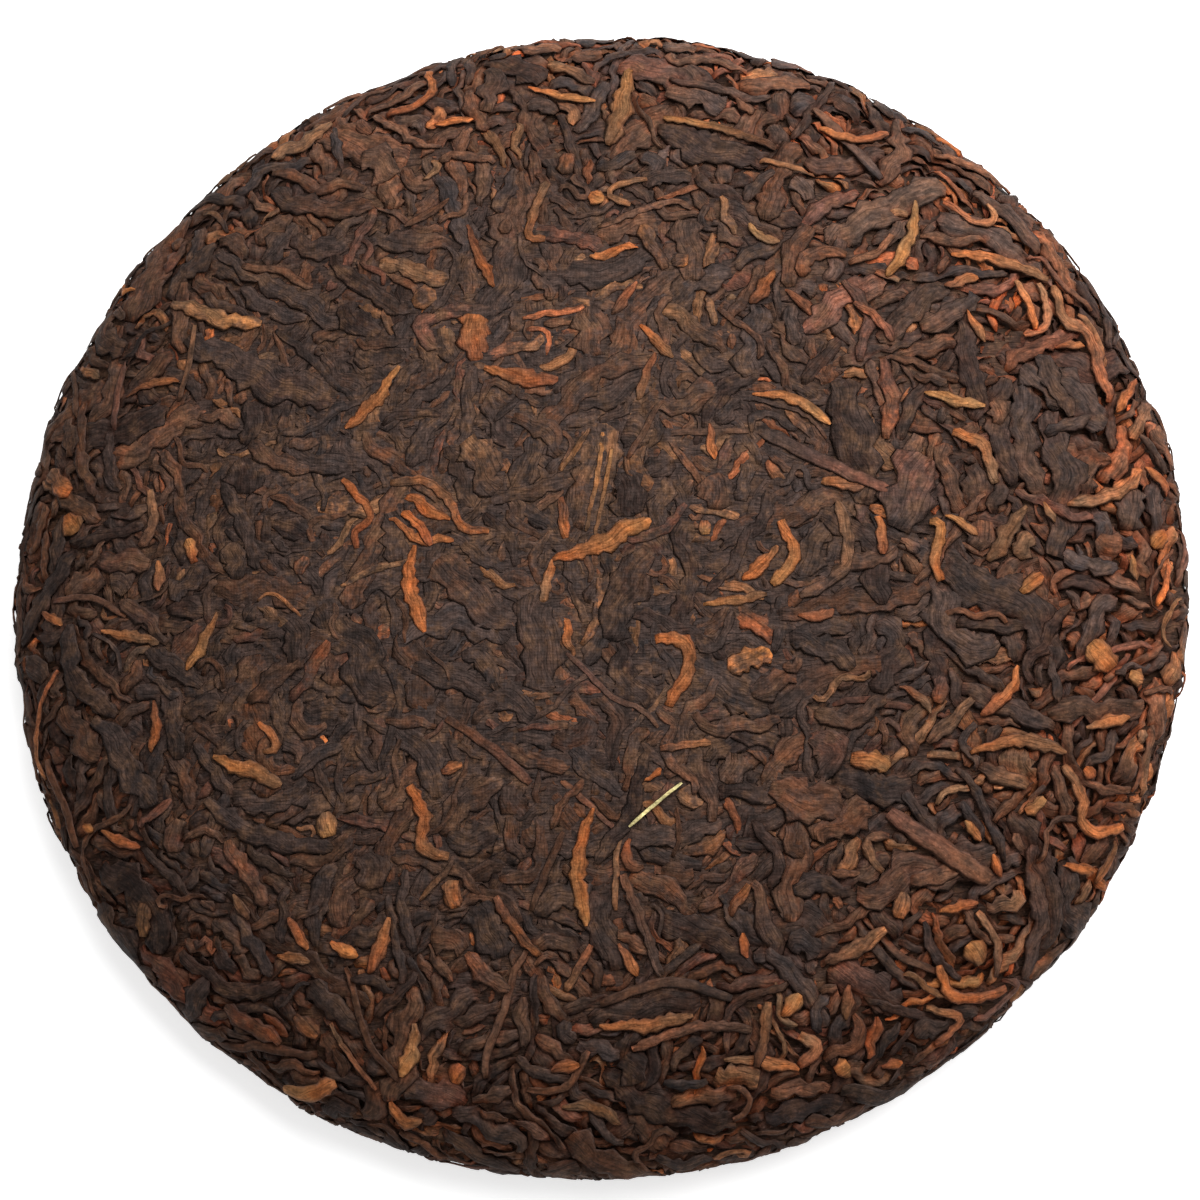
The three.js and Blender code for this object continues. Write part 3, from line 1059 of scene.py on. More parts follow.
SEEN_UPPER_RIGHT = (
    SeenLeaf(Tone.GOLD, 2.1, ((917, 199), (912, 240), (887, 275)), Tone.GOLD),
    SeenLeaf(Tone.RUST, 1.4, ((876, 270), (900, 279)), Tone.TAN, TWIST),
    SeenLeaf(Tone.ORANGE, 1.7, ((820, 125), (855, 140), (889, 130)), Tone.RUST, TWIST),
    SeenLeaf(Tone.UMBER, 1.9, ((815, 105), (850, 140), (882, 176)), Tone.SLATE, STEM),
    SeenLeaf(Tone.RUST, 1.3, ((945, 199), (975, 223), (1001, 219), (989, 201)), Tone.TAN, TWIST),
    SeenLeaf(Tone.ORANGE, 2.0, ((952, 251), (1000, 256), (1050, 277)), Tone.TAN, ROLLED),
    SeenLeaf(Tone.RUST, 2.0, ((945, 283), (979, 275)), Tone.ORANGE),
    SeenLeaf(Tone.TAN, 1.4, ((1017, 278), (1030, 300), (1037, 327)), Tone.ORANGE, TWIST),
    SeenLeaf(Tone.TAN, 1.4, ((1040, 281), (1050, 305), (1047, 329), (1025, 332)), Tone.RUST, TWIST),
    SeenLeaf(Tone.TAN, 2.3, ((1055, 283), (1068, 321), (1091, 325), (1111, 400)), Tone.RUST, ROLLED),
    SeenLeaf(Tone.RUST, 1.6, ((1058, 344), (1088, 342)), Tone.ORANGE),
    SeenLeaf(Tone.GOLD, 1.9, ((925, 390), (955, 400), (986, 404)), Tone.GOLD),
    SeenLeaf(Tone.RUST, 1.7, ((854, 301), (877, 315), (894, 339)), Tone.CHESTNUT, ROLLED),
    SeenLeaf(Tone.ORANGE, 1.8, ((752, 394), (790, 393), (831, 423)), Tone.GOLD),
    SeenLeaf(Tone.RUST, 1.8, ((1139, 377), (1119, 410)), Tone.ORANGE),
    SeenLeaf(Tone.SLATE, 3.4, ((975, 190), (1010, 205), (1040, 250)), Tone.SOOT, ROLLED),
    SeenLeaf(Tone.ORANGE, 1.6, ((968, 308), (986, 340)), Tone.TAN),
)

SEEN_AT_LEFT = (
    SeenLeaf(Tone.ORANGE, 3.4, ((64, 515), (74, 532)), Tone.GOLD, CHIP),
    SeenLeaf(Tone.TAN, 3.2, ((46, 470), (66, 492)), Tone.ORANGE, CHIP),
    SeenLeaf(Tone.GOLD, 2.0, ((188, 538), (194, 562)), Tone.RUST, CHIP),
    SeenLeaf(Tone.TAN, 1.7, ((150, 489), (153, 533), (138, 545)), Tone.UMBER, TWIST),
    SeenLeaf(Tone.ORANGE, 1.8, ((158, 560), (158, 590)), Tone.RUST),
    SeenLeaf(Tone.CHESTNUT, 3.7, ((97, 558), (148, 563)), Tone.UMBER, ROLLED),
    SeenLeaf(Tone.RUST, 1.6, ((40, 612), (61, 624)), Tone.ORANGE),
    SeenLeaf(Tone.ORANGE, 1.8, ((100, 630), (158, 642)), Tone.TAN),
    SeenLeaf(Tone.TAN, 1.8, ((217, 612), (204, 640), (186, 670)), Tone.GOLD),
    SeenLeaf(Tone.ORANGE, 1.3, ((342, 479), (378, 517), (352, 530), (357, 548)), Tone.RUST, TWIST),
    SeenLeaf(Tone.TAN, 1.5, ((390, 482), (428, 479), (450, 500), (461, 530), (489, 531)), Tone.ORANGE, TWIST),
    SeenLeaf(Tone.CHESTNUT, 2.1, ((291, 701), (310, 675), (327, 640)), Tone.RUST, ROLLED),
    SeenLeaf(Tone.RUST, 1.6, ((153, 700), (156, 725), (150, 752)), Tone.ORANGE),
    SeenLeaf(Tone.GOLD, 2.6, ((212, 757), (245, 768), (281, 785)), Tone.TAN),
    SeenLeaf(Tone.RUST, 1.0, ((56, 670), (35, 706), (32, 757), (43, 780)), Tone.TAN, TWIST),
    SeenLeaf(Tone.SLATE, 3.2, ((66, 624), (71, 686), (115, 714)), Tone.SOOT, ROLLED),
    SeenLeaf(Tone.TAN, 2.8, ((40, 478), (70, 500), (96, 520)), Tone.UMBER, ROLLED),
    SeenLeaf(Tone.ORANGE, 1.3, ((258, 722), (276, 738), (274, 752), (262, 752)), Tone.TAN, TWIST),
)

SEEN_IN_MIDDLE = (
    SeenLeaf(Tone.ORANGE, 1.5, ((402, 512), (418, 522), (431, 545)), Tone.RUST, TWIST),
    SeenLeaf(Tone.ORANGE, 2.5, ((415, 545), (405, 575), (424, 632)), Tone.ORANGE),
    SeenLeaf(Tone.ORANGE, 3.1, ((553, 560), (600, 545), (650, 518)), Tone.GOLD),
    SeenLeaf(Tone.ORANGE, 1.5, ((555, 558), (546, 580), (543, 604)), Tone.TAN, TWIST),
    SeenLeaf(Tone.GOLD, 1.6, ((703, 604), (735, 600), (767, 594)), Tone.TAN),
    SeenLeaf(Tone.ORANGE, 1.9, ((780, 520), (800, 558), (772, 584)), Tone.GOLD, TWIST),
    SeenLeaf(Tone.TAN, 2.1, ((777, 545), (760, 568), (742, 579)), Tone.ORANGE),
    SeenLeaf(Tone.ORANGE, 2.1, ((655, 640), (688, 637), (691, 668), (668, 706)), Tone.ORANGE, TWIST),
    SeenLeaf(Tone.TAN, 3.2, ((729, 670), (770, 650)), Tone.GOLD, CHIP),
    SeenLeaf(Tone.RUST, 1.2, ((660, 748), (711, 742)), Tone.ORANGE, TWIST),
    SeenLeaf(Tone.RUST, 1.6, ((441, 771), (462, 765)), Tone.ORANGE, CHIP),
    SeenLeaf(Tone.UMBER, 1.6, ((446, 718), (490, 745), (530, 783)), Tone.CHESTNUT, STEM),
    SeenLeaf(Tone.RUST, 1.9, ((704, 520), (706, 534)), Tone.GOLD, CHIP),
    SeenLeaf(Tone.RUST, 1.5, ((709, 423), (714, 459)), Tone.ORANGE),
    SeenLeaf(Tone.RUST, 1.6, ((561, 497), (566, 538)), Tone.ORANGE, TWIST),
    SeenLeaf(Tone.GOLD, 0.8, ((603, 432), (599, 470), (586, 531)), Tone.TAN, TWIST),
    SeenLeaf(Tone.GOLD, 0.7, ((612, 446), (606, 484), (594, 540)), Tone.TAN, TWIST),
    SeenLeaf(Tone.TAN, 0.9, ((590, 428), (574, 452), (560, 470)), Tone.GOLD, TWIST),
    SeenLeaf(Tone.TAN, 6.4, ((606, 424), (596, 462), (580, 528)), Tone.UMBER, BROAD, 0.02),
    SeenLeaf(Tone.TAN, 5.2, ((468, 438), (480, 464), (500, 488)), Tone.UMBER, FLAKE, 0.02),
    SeenLeaf(Tone.UMBER, 5.4, ((648, 552), (622, 588), (612, 640)), Tone.SLATE, BROAD, 0.04),
    SeenLeaf(Tone.UMBER, 5.0, ((436, 560), (470, 596), (512, 622)), Tone.SLATE, BROAD, 0.04),
    SeenLeaf(Tone.SLATE, 6.0, ((540, 590), (538, 640), (545, 690)), Tone.SLATE, BROAD, 0.02),
)

SEEN_AT_RIGHT = (
    SeenLeaf(Tone.CHESTNUT, 2.7, ((884, 358), (892, 400), (887, 438)), Tone.RUST, ROLLED),
    SeenLeaf(Tone.SLATE, 2.1, ((760, 430), (825, 462), (889, 489)), Tone.CHESTNUT, STEM),
    SeenLeaf(Tone.ORANGE, 2.6, ((820, 479), (866, 484)), Tone.RUST),
    SeenLeaf(Tone.CHESTNUT, 7.0, ((926, 456), (905, 492), (897, 528)), Tone.SLATE, BROAD, -0.3),
    SeenLeaf(Tone.ORANGE, 1.9, ((953, 431), (985, 440), (996, 482)), Tone.TAN, TWIST),
    SeenLeaf(Tone.GOLD, 1.7, ((930, 520), (945, 522), (933, 558), (941, 580)), Tone.ORANGE, TWIST),
    SeenLeaf(Tone.GOLD, 1.5, ((946, 514), (960, 520), (978, 534)), Tone.TAN, BUD),
    SeenLeaf(Tone.ORANGE, 1.6, ((879, 515), (884, 553)), Tone.RUST, TWIST),
    SeenLeaf(Tone.TAN, 1.9, ((838, 500), (851, 543), (843, 575), (800, 596)), Tone.UMBER, ROLLED),
    SeenLeaf(Tone.TAN, 2.7, ((1027, 505), (1010, 530), (989, 560)), Tone.TAN, BUD),
    SeenLeaf(Tone.ORANGE, 1.3, ((1045, 500), (1056, 521)), Tone.TAN),
    SeenLeaf(Tone.TAN, 2.3, ((1070, 502), (1119, 494), (1146, 466)), Tone.ORANGE, ROLLED),
    SeenLeaf(Tone.ORANGE, 2.0, ((1150, 464), (1165, 478), (1173, 494)), Tone.RUST),
    SeenLeaf(Tone.ORANGE, 2.6, ((1170, 531), (1156, 545)), Tone.GOLD, CHIP),
    SeenLeaf(Tone.ORANGE, 2.3, ((1042, 573), (1022, 592)), Tone.GOLD, CHIP),
    SeenLeaf(Tone.GOLD, 1.6, ((1134, 553), (1139, 579)), Tone.TAN),
    SeenLeaf(Tone.RUST, 1.3, ((1172, 563), (1171, 585), (1160, 604)), Tone.ORANGE, TWIST),
    SeenLeaf(Tone.GOLD, 4.2, ((1092, 642), (1114, 668)), Tone.ORANGE, CHIP),
    SeenLeaf(Tone.GOLD, 2.8, ((1132, 674), (1146, 678)), Tone.ORANGE, CHIP),
    SeenLeaf(Tone.ORANGE, 2.0, ((1019, 665), (1012, 693), (981, 714)), Tone.RUST),
    SeenLeaf(Tone.CHESTNUT, 2.4, ((943, 676), (937, 702)), Tone.RUST, CHIP),
    SeenLeaf(Tone.ORANGE, 2.2, ((971, 752), (1022, 736), (1068, 752)), Tone.TAN, BUD),
    SeenLeaf(Tone.UMBER, 2.7, ((980, 766), (1029, 786)), Tone.TAN, ROLLED),
    SeenLeaf(Tone.ORANGE, 3.0, ((851, 757), (870, 757), (889, 768)), Tone.GOLD, CHIP),
    SeenLeaf(Tone.TAN, 2.1, ((973, 698), (950, 722), (928, 742)), Tone.UMBER, ROLLED),
    SeenLeaf(Tone.TAN, 1.9, ((1088, 727), (1132, 716)), Tone.ORANGE),
    SeenLeaf(Tone.TAN, 1.9, ((1065, 765), (1087, 795), (1081, 822), (1100, 835), (1127, 827)),
             Tone.ORANGE, TWIST),
    SeenLeaf(Tone.ORANGE, 2.0, ((1027, 812), (1046, 798)), Tone.GOLD, CHIP),
    SeenLeaf(Tone.TAN, 2.1, ((1119, 842), (1114, 865), (1100, 886)), Tone.ORANGE),
    SeenLeaf(Tone.ORANGE, 1.9, ((1086, 768), (1096, 777)), Tone.RUST, CHIP),
)

SEEN_LOWER_LEFT = (
    SeenLeaf(Tone.ORANGE, 1.6, ((99, 831), (120, 842), (138, 848)), Tone.RUST),
    SeenLeaf(Tone.RUST, 2.6, ((225, 841), (244, 870), (265, 905)), Tone.CHESTNUT, ROLLED),
    SeenLeaf(Tone.TAN, 1.6, ((232, 894), (247, 920)), Tone.UMBER),
    SeenLeaf(Tone.TAN, 3.2, ((324, 812), (330, 836)), Tone.GOLD, CHIP),
    SeenLeaf(Tone.RUST, 1.7, ((288, 917), (306, 950)), Tone.ORANGE),
    SeenLeaf(Tone.ORANGE, 1.7, ((276, 956), (309, 961)), Tone.TAN),
    SeenLeaf(Tone.ORANGE, 2.0, ((329, 943), (357, 956)), Tone.GOLD),
    SeenLeaf(Tone.ORANGE, 2.2, ((388, 917), (380, 950), (367, 973)), Tone.RUST),
    SeenLeaf(Tone.CHESTNUT, 2.6, ((222, 1009), (250, 1025), (278, 1045)), Tone.RUST, ROLLED),
    SeenLeaf(Tone.RUST, 2.4, ((293, 1017), (316, 1037)), Tone.ORANGE, CHIP),
    SeenLeaf(Tone.TAN, 0.8, ((329, 1024), (350, 1060), (375, 1091)), Tone.RUST, TWIST),
    SeenLeaf(Tone.TAN, 2.5, ((141, 904), (139, 938)), Tone.GOLD, CHIP),
    SeenLeaf(Tone.ORANGE, 2.1, ((388, 1104), (400, 1128), (420, 1124)), Tone.TAN),
    SeenLeaf(Tone.SLATE, 2.9, ((204, 800), (255, 840), (332, 848)), Tone.SOOT, ROLLED),
    SeenLeaf(Tone.ORANGE, 1.6, ((80, 826), (90, 830)), Tone.GOLD, CHIP),
    SeenLeaf(Tone.TAN, 2.4, ((415, 1024), (412, 1050), (400, 1078)), Tone.GOLD),
)

SEEN_AT_BOTTOM = (
    SeenLeaf(Tone.ORANGE, 2.0, ((408, 786), (428, 815), (415, 846), (448, 858)), Tone.TAN, TWIST),
    SeenLeaf(Tone.TAN, 3.0, ((453, 880), (454, 908)), Tone.ORANGE, CHIP),
    SeenLeaf(Tone.ORANGE, 2.4, ((594, 808), (574, 855), (586, 926)), Tone.GOLD),
    SeenLeaf(Tone.RUST, 2.3, ((466, 953), (485, 978), (510, 989)), Tone.UMBER, ROLLED),
    SeenLeaf(Tone.RUST, 1.5, ((494, 897), (515, 930), (538, 956)), Tone.ORANGE, TWIST),
    SeenLeaf(Tone.RUST, 1.3, ((591, 945), (578, 968), (566, 991)), Tone.TAN, TWIST),
    SeenLeaf(Tone.RUST, 2.0, ((551, 1071), (579, 1065)), Tone.ORANGE),
    SeenLeaf(Tone.ORANGE, 2.6, ((454, 1084), (462, 1066)), Tone.RUST, CHIP),
    SeenLeaf(Tone.ORANGE, 2.1, ((599, 1026), (650, 1027), (693, 1015)), Tone.TAN),
    SeenLeaf(Tone.RUST, 1.5, ((632, 1050), (670, 1034), (706, 1024), (752, 1030)), Tone.UMBER, TWIST),
    SeenLeaf(Tone.UMBER, 1.5, ((600, 1004), (640, 988), (676, 979), (732, 999)), Tone.SLATE, STEM),
    SeenLeaf(Tone.UMBER, 1.5, ((622, 874), (645, 930), (661, 976)), Tone.SLATE, TWIST),
    SeenLeaf(Tone.SLATE, 4.4, ((590, 1022), (640, 1006), (700, 998)), Tone.SOOT, BROAD),
    SeenLeaf(Tone.RUST, 1.6, ((619, 943), (637, 976)), Tone.ORANGE),
    SeenLeaf(Tone.ORANGE, 1.5, ((742, 933), (747, 958)), Tone.RUST),
    SeenLeaf(Tone.RUST, 1.5, ((729, 915), (749, 884)), Tone.ORANGE, TWIST),
    SeenLeaf(Tone.TAN, 1.6, ((767, 1002), (766, 1035), (757, 1068)), Tone.UMBER, TWIST),
    SeenLeaf(Tone.ORANGE, 2.5, ((783, 1017), (800, 994)), Tone.GOLD),
    SeenLeaf(Tone.TAN, 1.8, ((724, 1060), (765, 1062), (800, 1070)), Tone.ORANGE),
    SeenLeaf(Tone.RUST, 2.0, ((535, 1037), (573, 1063)), Tone.UMBER, ROLLED),
    SeenLeaf(Tone.CHESTNUT, 3.0, ((889, 812), (940, 848), (991, 880)), Tone.UMBER, STEM),
    SeenLeaf(Tone.ORANGE, 1.7, ((940, 912), (979, 902)), Tone.RUST),
    SeenLeaf(Tone.TAN, 1.4, ((979, 912), (1002, 943), (999, 979)), Tone.UMBER, TWIST),
    SeenLeaf(Tone.ORANGE, 1.7, ((940, 966), (948, 996), (975, 1002), (1009, 991)), Tone.RUST, TWIST),
    SeenLeaf(Tone.TAN, 1.4, ((928, 1009), (971, 1019), (938, 1047)), Tone.RUST, TWIST),
    SeenLeaf(Tone.RUST, 1.6, ((884, 1070), (905, 1065)), Tone.ORANGE),
    SeenLeaf(Tone.ORANGE, 3.0, ((836, 1072), (850, 1066)), Tone.GOLD, CHIP),
    SeenLeaf(Tone.TAN, 2.0, ((800, 1037), (823, 1045), (800, 1068)), Tone.RUST, TWIST),
    SeenLeaf(Tone.UMBER, 2.2, ((826, 963), (855, 950), (887, 930)), Tone.TAN, ROLLED),
    SeenLeaf(Tone.TAN, 2.4, ((905, 892), (899, 918)), Tone.ORANGE, CHIP),
    SeenLeaf(Tone.GOLD, 3.6, ((970, 944), (984, 964)), Tone.TAN, CHIP),
    SeenLeaf(Tone.RUST, 1.8, ((850, 985), (846, 1020)), Tone.TAN),
    SeenLeaf(Tone.ORANGE, 1.6, ((994, 854), (1002, 877)), Tone.RUST),
    SeenLeaf(Tone.GOLD, 1.6, ((966, 820), (981, 841)), Tone.ORANGE),
)

SEEN_LEAVES = (
    *SEEN_AT_TOP, *SEEN_UPPER_LEFT, *SEEN_UPPER_RIGHT, *SEEN_AT_LEFT,
    *SEEN_IN_MIDDLE, *SEEN_AT_RIGHT, *SEEN_LOWER_LEFT, *SEEN_AT_BOTTOM,
)

# A flake that juts from the rim, and one blade of dry grass on the face.
RIM_FLAKE = SeenLeaf(Tone.GOLD, 2.6, ((284, 1089), (312, 1094), (336, 1083)), Tone.ORANGE, CHIP, -1.2)
GRASS_BLADE = SeenLeaf(Tone.STRAW, 0.55, ((629, 827), (655, 804), (682, 783)), Tone.STRAW, STEM, -0.5)


@dataclass(frozen=True)
class Viewpoint:
    """The photo's camera, which looks down on the cake from the near side."""

    azimuth: float = 18.0
    elevation: float = 75.0
    lens: float = 90.0
    sensor: float = 36.0
    field_width: float = 199.2
    frame_pixels: int = 1200
    aim: tuple[float, float, float] = (1.6, -4.2, 12.0)
    rounds: int = 10

    def distance(self) -> float:
        """How far the camera stands from its aim, in millimetres."""
        return self.field_width * self.lens / self.sensor

    def axes(self) -> np.ndarray:
        """The camera's right, up and backward directions, as rows."""
        turn, rise = math.radians(self.azimuth), math.radians(self.elevation)
        back = np.array([math.sin(turn) * math.cos(rise), -math.cos(turn) * math.cos(rise), math.sin(rise)])
        right = np.cross((0.0, 1.0, 0.0), back)
        right /= np.linalg.norm(right)
        return np.stack((right, np.cross(back, right), back))

    def place(self) -> np.ndarray:
        """Where the camera stands, in millimetres."""
        return np.array(self.aim) + self.axes()[2] * self.distance()

    def on_face(self, face: Face, pixels: tuple[tuple[int, int], ...]) -> np.ndarray:
        """Finds photo pixels on the flattened front.

        Args:
            face: The front.
            pixels: Points in the photo.

        Returns:
            Their places on the flattened face, in millimetres.
        """
        right, up, back = self.axes()
        stand = self.place()
        middle = self.frame_pixels / 2
        scale = self.sensor / self.lens / self.frame_pixels
        found = []
        for column, row in pixels:
            ray = right * (column - middle) * scale + up * (middle - row) * scale - back
            height = face.height_at(0.0)
            for _ in range(self.rounds):
                spot = stand + ray * (height - stand[2]) / ray[2]
                radius = math.hypot(spot[0], spot[1])
                height = face.height_at(radius)
            found.append(spot[:2] / max(radius, 1e-6) * face.flatten(radius))
        return np.array(found)

    def build(self) -> None:
        """Makes the camera."""
        lens = bpy.data.cameras.new("photo_camera")
        lens.lens = self.lens
        lens.sensor_width = self.sensor
        camera = bpy.data.objects.new("photo_camera", lens)
        bpy.context.scene.collection.objects.link(camera)
        turned = Matrix(self.axes().T.tolist()).to_4x4()
        camera.matrix_world = Matrix.Translation(Vector(self.place() * MM)) @ turned
        bpy.context.scene.camera = camera


class Graph:
    """A node tree with short calls to add and join nodes."""

    def __init__(self, tree: bpy.types.NodeTree) -> None:
        """Empties a tree and starts on it."""
        self.tree = tree
        tree.nodes.clear()

    def add(self, kind: str, inputs: dict | None = None, **settings: object) -> bpy.types.Node:
        """Adds a node.

        Args:
            kind: The node's type, without its prefix.
            inputs: For each named or numbered input, a value or the output that feeds it.
            settings: The node's own settings.

        Returns:
            The node.
        """
        node = self.tree.nodes.new(kind if kind.startswith("NodeGroup") else "ShaderNode" + kind)
        for name, value in settings.items():
            setattr(node, name, value)
        for name, value in (inputs or {}).items():
            if isinstance(value, bpy.types.NodeSocket):
                self.tree.links.new(value, node.inputs[name])
            else:
                node.inputs[name].default_value = value
        return node

    def math(self, operation: str, *values: object) -> bpy.types.NodeSocket:
        """The result of a sum on values or outputs."""
        return self.add("Math", dict(enumerate(values)), operation=operation).outputs[0]

    def ranged(self, value: bpy.types.NodeSocket, low: float, high: float, to_low: float,
               to_high: float) -> bpy.types.NodeSocket:
        """A value moved from one range to another, and kept inside it."""
        inputs = {0: value, 1: low, 2: high, 3: to_low, 4: to_high}
        return self.add("MapRange", inputs).outputs[0]

    def scaled(self, vector: bpy.types.NodeSocket, scale: tuple[float, float, float],
               shift: tuple[float, float, float] = (0, 0, 0)) -> bpy.types.NodeSocket:
        """A vector times a scale, plus a shift."""
        inputs = {0: vector, 1: scale, 2: shift}
        return self.add("VectorMath", inputs, operation="MULTIPLY_ADD").outputs[0]

    def times(self, first: object, second: object) -> bpy.types.NodeSocket:
        """Two vectors multiplied axis by axis."""
        return self.add("VectorMath", {0: first, 1: second}, operation="MULTIPLY").outputs[0]

    def blend(self, share: bpy.types.NodeSocket, first: object, second: object) -> bpy.types.NodeSocket:
        """A mix of two colours, as vectors."""
        return self.add("Mix", {0: share, 4: first, 5: second}, data_type="VECTOR").outputs[1]

    def noise(self, vector: bpy.types.NodeSocket, detail: float,
              roughness: float = 0.55) -> bpy.types.NodeSocket:
        """Even noise from 0 to 1, one wave to each step of the vector."""
        inputs = {"Vector": vector, "Scale": 1.0, "Detail": detail, "Roughness": roughness}
        return self.add("TexNoise", inputs).outputs[0]

    def filled(self, group: bpy.types.NodeTree, inputs: dict) -> bpy.types.Node:
        """Places a node group and fills its inputs, named in plain words with underscores."""
        node = self.add("Group", None, node_tree=group)
        for name, value in inputs.items():
            socket = node.inputs[name.replace("_", " ").capitalize()]
            if isinstance(value, bpy.types.NodeSocket):
                self.tree.links.new(value, socket)
            else:
                socket.default_value = value
        return node


def new_group(name: str, inputs: dict[str, float], outputs: tuple[str, ...]) -> tuple[Graph, bpy.types.Node]:
    """Starts a shader node group of plain values.

    Args:
        name: Its name.
        inputs: Its inputs and their usual values.
        outputs: Its outputs.

    Returns:
        The group's graph, and the node that gives its inputs.
    """
    tree = bpy.data.node_groups.new(name, "ShaderNodeTree")
    for title, value in inputs.items():
        socket = tree.interface.new_socket(name=title, in_out="INPUT", socket_type="NodeSocketFloat")
        socket.default_value = value
    for title in outputs:
        tree.interface.new_socket(name=title, in_out="OUTPUT", socket_type="NodeSocketFloat")
    graph = Graph(tree)
    return graph, graph.add("NodeGroupInput")


@dataclass
class Effects:
    """The shader effects that the finishes share, with the grain's scales to the millimetre."""

    patch_scale: tuple[float, float, float] = (0.25, 0.55, 1.0)
    swerve_scale: tuple[float, float, float] = (0.16, 0.25, 1.0)
    swerve_reach: float = 2.0
    fine_along: float = 0.35
    wide_along: float = 0.1
    fine_height: float = 0.46
    wide_height: float = 0.4
    crease_width: float = 0.04
    crease_depth: float = 0.25
    dust_scale: float = 300.0
    stain_scale: float = 240.0
    crumple_scale: float = 900.0
    speck_scale: float = 2300.0
    # Depths over which painted shade turns warmer, and how fast painted shade darkens with depth.
    deep_range: tuple[float, float] = (0.35, 1.6)
    darkening: float = 1.4

    def __post_init__(self) -> None:
        """Builds each group once."""
        self.grain = self.build_grain()
        self.shade = self.build_shade()
        self.smudge = self.build_smudge()
        self.cloth = self.build_cloth()

    def build_grain(self) -> bpy.types.NodeTree:
        """The wrinkles, creases and fibres that run along a leaf, in its own millimetres."""
        graph, given = new_group(
            "leaf_grain", {"Fine pitch": 3.0, "Wide pitch": 0.9}, ("Streak", "Crease", "Patch", "Height")
        )
        own = graph.add("Attribute", attribute_name="grain").outputs["Vector"]
        patch = graph.noise(graph.scaled(own, self.patch_scale), 2.0)
        swerve = graph.noise(graph.scaled(own, self.swerve_scale, (7, 3, 5)), 1.0)
        bent = graph.add("CombineXYZ", {"Y": graph.math("MULTIPLY", swerve, self.swerve_reach)}).outputs[0]
        wavy = graph.add("VectorMath", {0: own, 1: bent}, operation="ADD").outputs[0]
        scales = [
            graph.add("CombineXYZ", {"X": along, "Y": given.outputs[pitch], "Z": 1.0}).outputs[0]
            for along, pitch in ((self.fine_along, "Fine pitch"), (self.wide_along, "Wide pitch"))
        ]
        fine = graph.noise(graph.times(wavy, scales[0]), 3.0, 0.7)
        wide = graph.noise(graph.times(wavy, scales[1]), 1.0)
        off_middle = graph.math("ABSOLUTE", graph.math("SUBTRACT", wide, 0.5))
        crease = graph.ranged(off_middle, 0.0, self.crease_width, 1.0, 0.0)
        raised = graph.math("MULTIPLY", wide, self.wide_height)
        raised = graph.math("MULTIPLY_ADD", fine, self.fine_height, raised)
        height = graph.math("MULTIPLY_ADD", crease, -self.crease_depth, raised)
        graph.add("NodeGroupOutput", {
            "Streak": graph.ranged(fine, 0.31, 0.69, 0.0, 1.0), "Crease": crease,
            "Patch": graph.ranged(patch, 0.35, 0.65, 0.0, 1.0), "Height": height,
        })
        return graph.tree

    def build_smudge(self) -> bpy.types.NodeTree:
        """The dust that the press rubbed over the leaves, and stains that run on from leaf to leaf."""
        graph, given = new_group(
            "rubbed_dust", {"Rimward": 0.0, "Edge": 0.0, "Amount": 1.0}, ("Dust", "Stain", "Speck", "Crumple")
        )
        place = graph.add("TexCoord").outputs["Object"]
        dust = graph.noise(graph.scaled(place, 3 * (self.dust_scale,)), 3.0, 0.7)
        stain = graph.noise(graph.scaled(place, 3 * (self.stain_scale,), (31, 17, 5)), 3.0, 0.65)
        speck = graph.noise(graph.scaled(place, 3 * (self.speck_scale,)), 1.0)
        crumple = graph.noise(graph.scaled(place, 3 * (self.crumple_scale,), (3, 8, 1)), 2.0, 0.7)
        covered = graph.ranged(given.outputs["Rimward"], 0.0, 1.0, 0.9, 0.35)
        covered = graph.math("MULTIPLY", covered, given.outputs["Amount"])
        ragged = graph.math("MULTIPLY", given.outputs["Edge"], graph.ranged(crumple, 0.28, 0.61, 0.2, 0.9))
        rubbed = graph.math("MULTIPLY", graph.ranged(dust, 0.445, 0.61, 0.0, 1.0), covered)
        graph.add("NodeGroupOutput", {
            "Dust": graph.math("MAXIMUM", rubbed, ragged),
            "Stain": graph.math("MULTIPLY", graph.ranged(stain, 0.478, 0.633, 0.0, 1.0), covered),
            "Speck": graph.ranged(speck, 0.62, 0.75, 0.0, 1.0), "Crumple": crumple,
        })
        return graph.tree

    def build_shade(self) -> bpy.types.NodeTree:
        """Painted shade at a leaf's edges and deep between leaves."""
        graph, given = new_group(
            "crevice_shade", {"Edge": 0.5, "Depth": 0.4}, ("Shade", "Edge", "Rimward", "Deep")
        )
        form = graph.add("SeparateXYZ", {0: graph.add("Attribute", attribute_name="form").outputs["Vector"]})
        edge = graph.math("MULTIPLY", form.outputs[0], given.outputs["Edge"])
        edge = graph.math("MULTIPLY", edge, graph.ranged(form.outputs[2], 0.0, 1.0, 0.3, 1.0))
        depth = graph.math("MULTIPLY", form.outputs[1], given.outputs["Depth"])
        dark = graph.math("POWER", 2.0, graph.math("MULTIPLY", depth, -self.darkening))
        kept = graph.math("MULTIPLY", graph.math("SUBTRACT", 1.0, edge), dark)
        graph.add("NodeGroupOutput", {
            "Shade": kept, "Edge": form.outputs[0], "Rimward": form.outputs[2],
            "Deep": graph.ranged(form.outputs[1], *self.deep_range, 0.0, 1.0),
        })
        return graph.tree

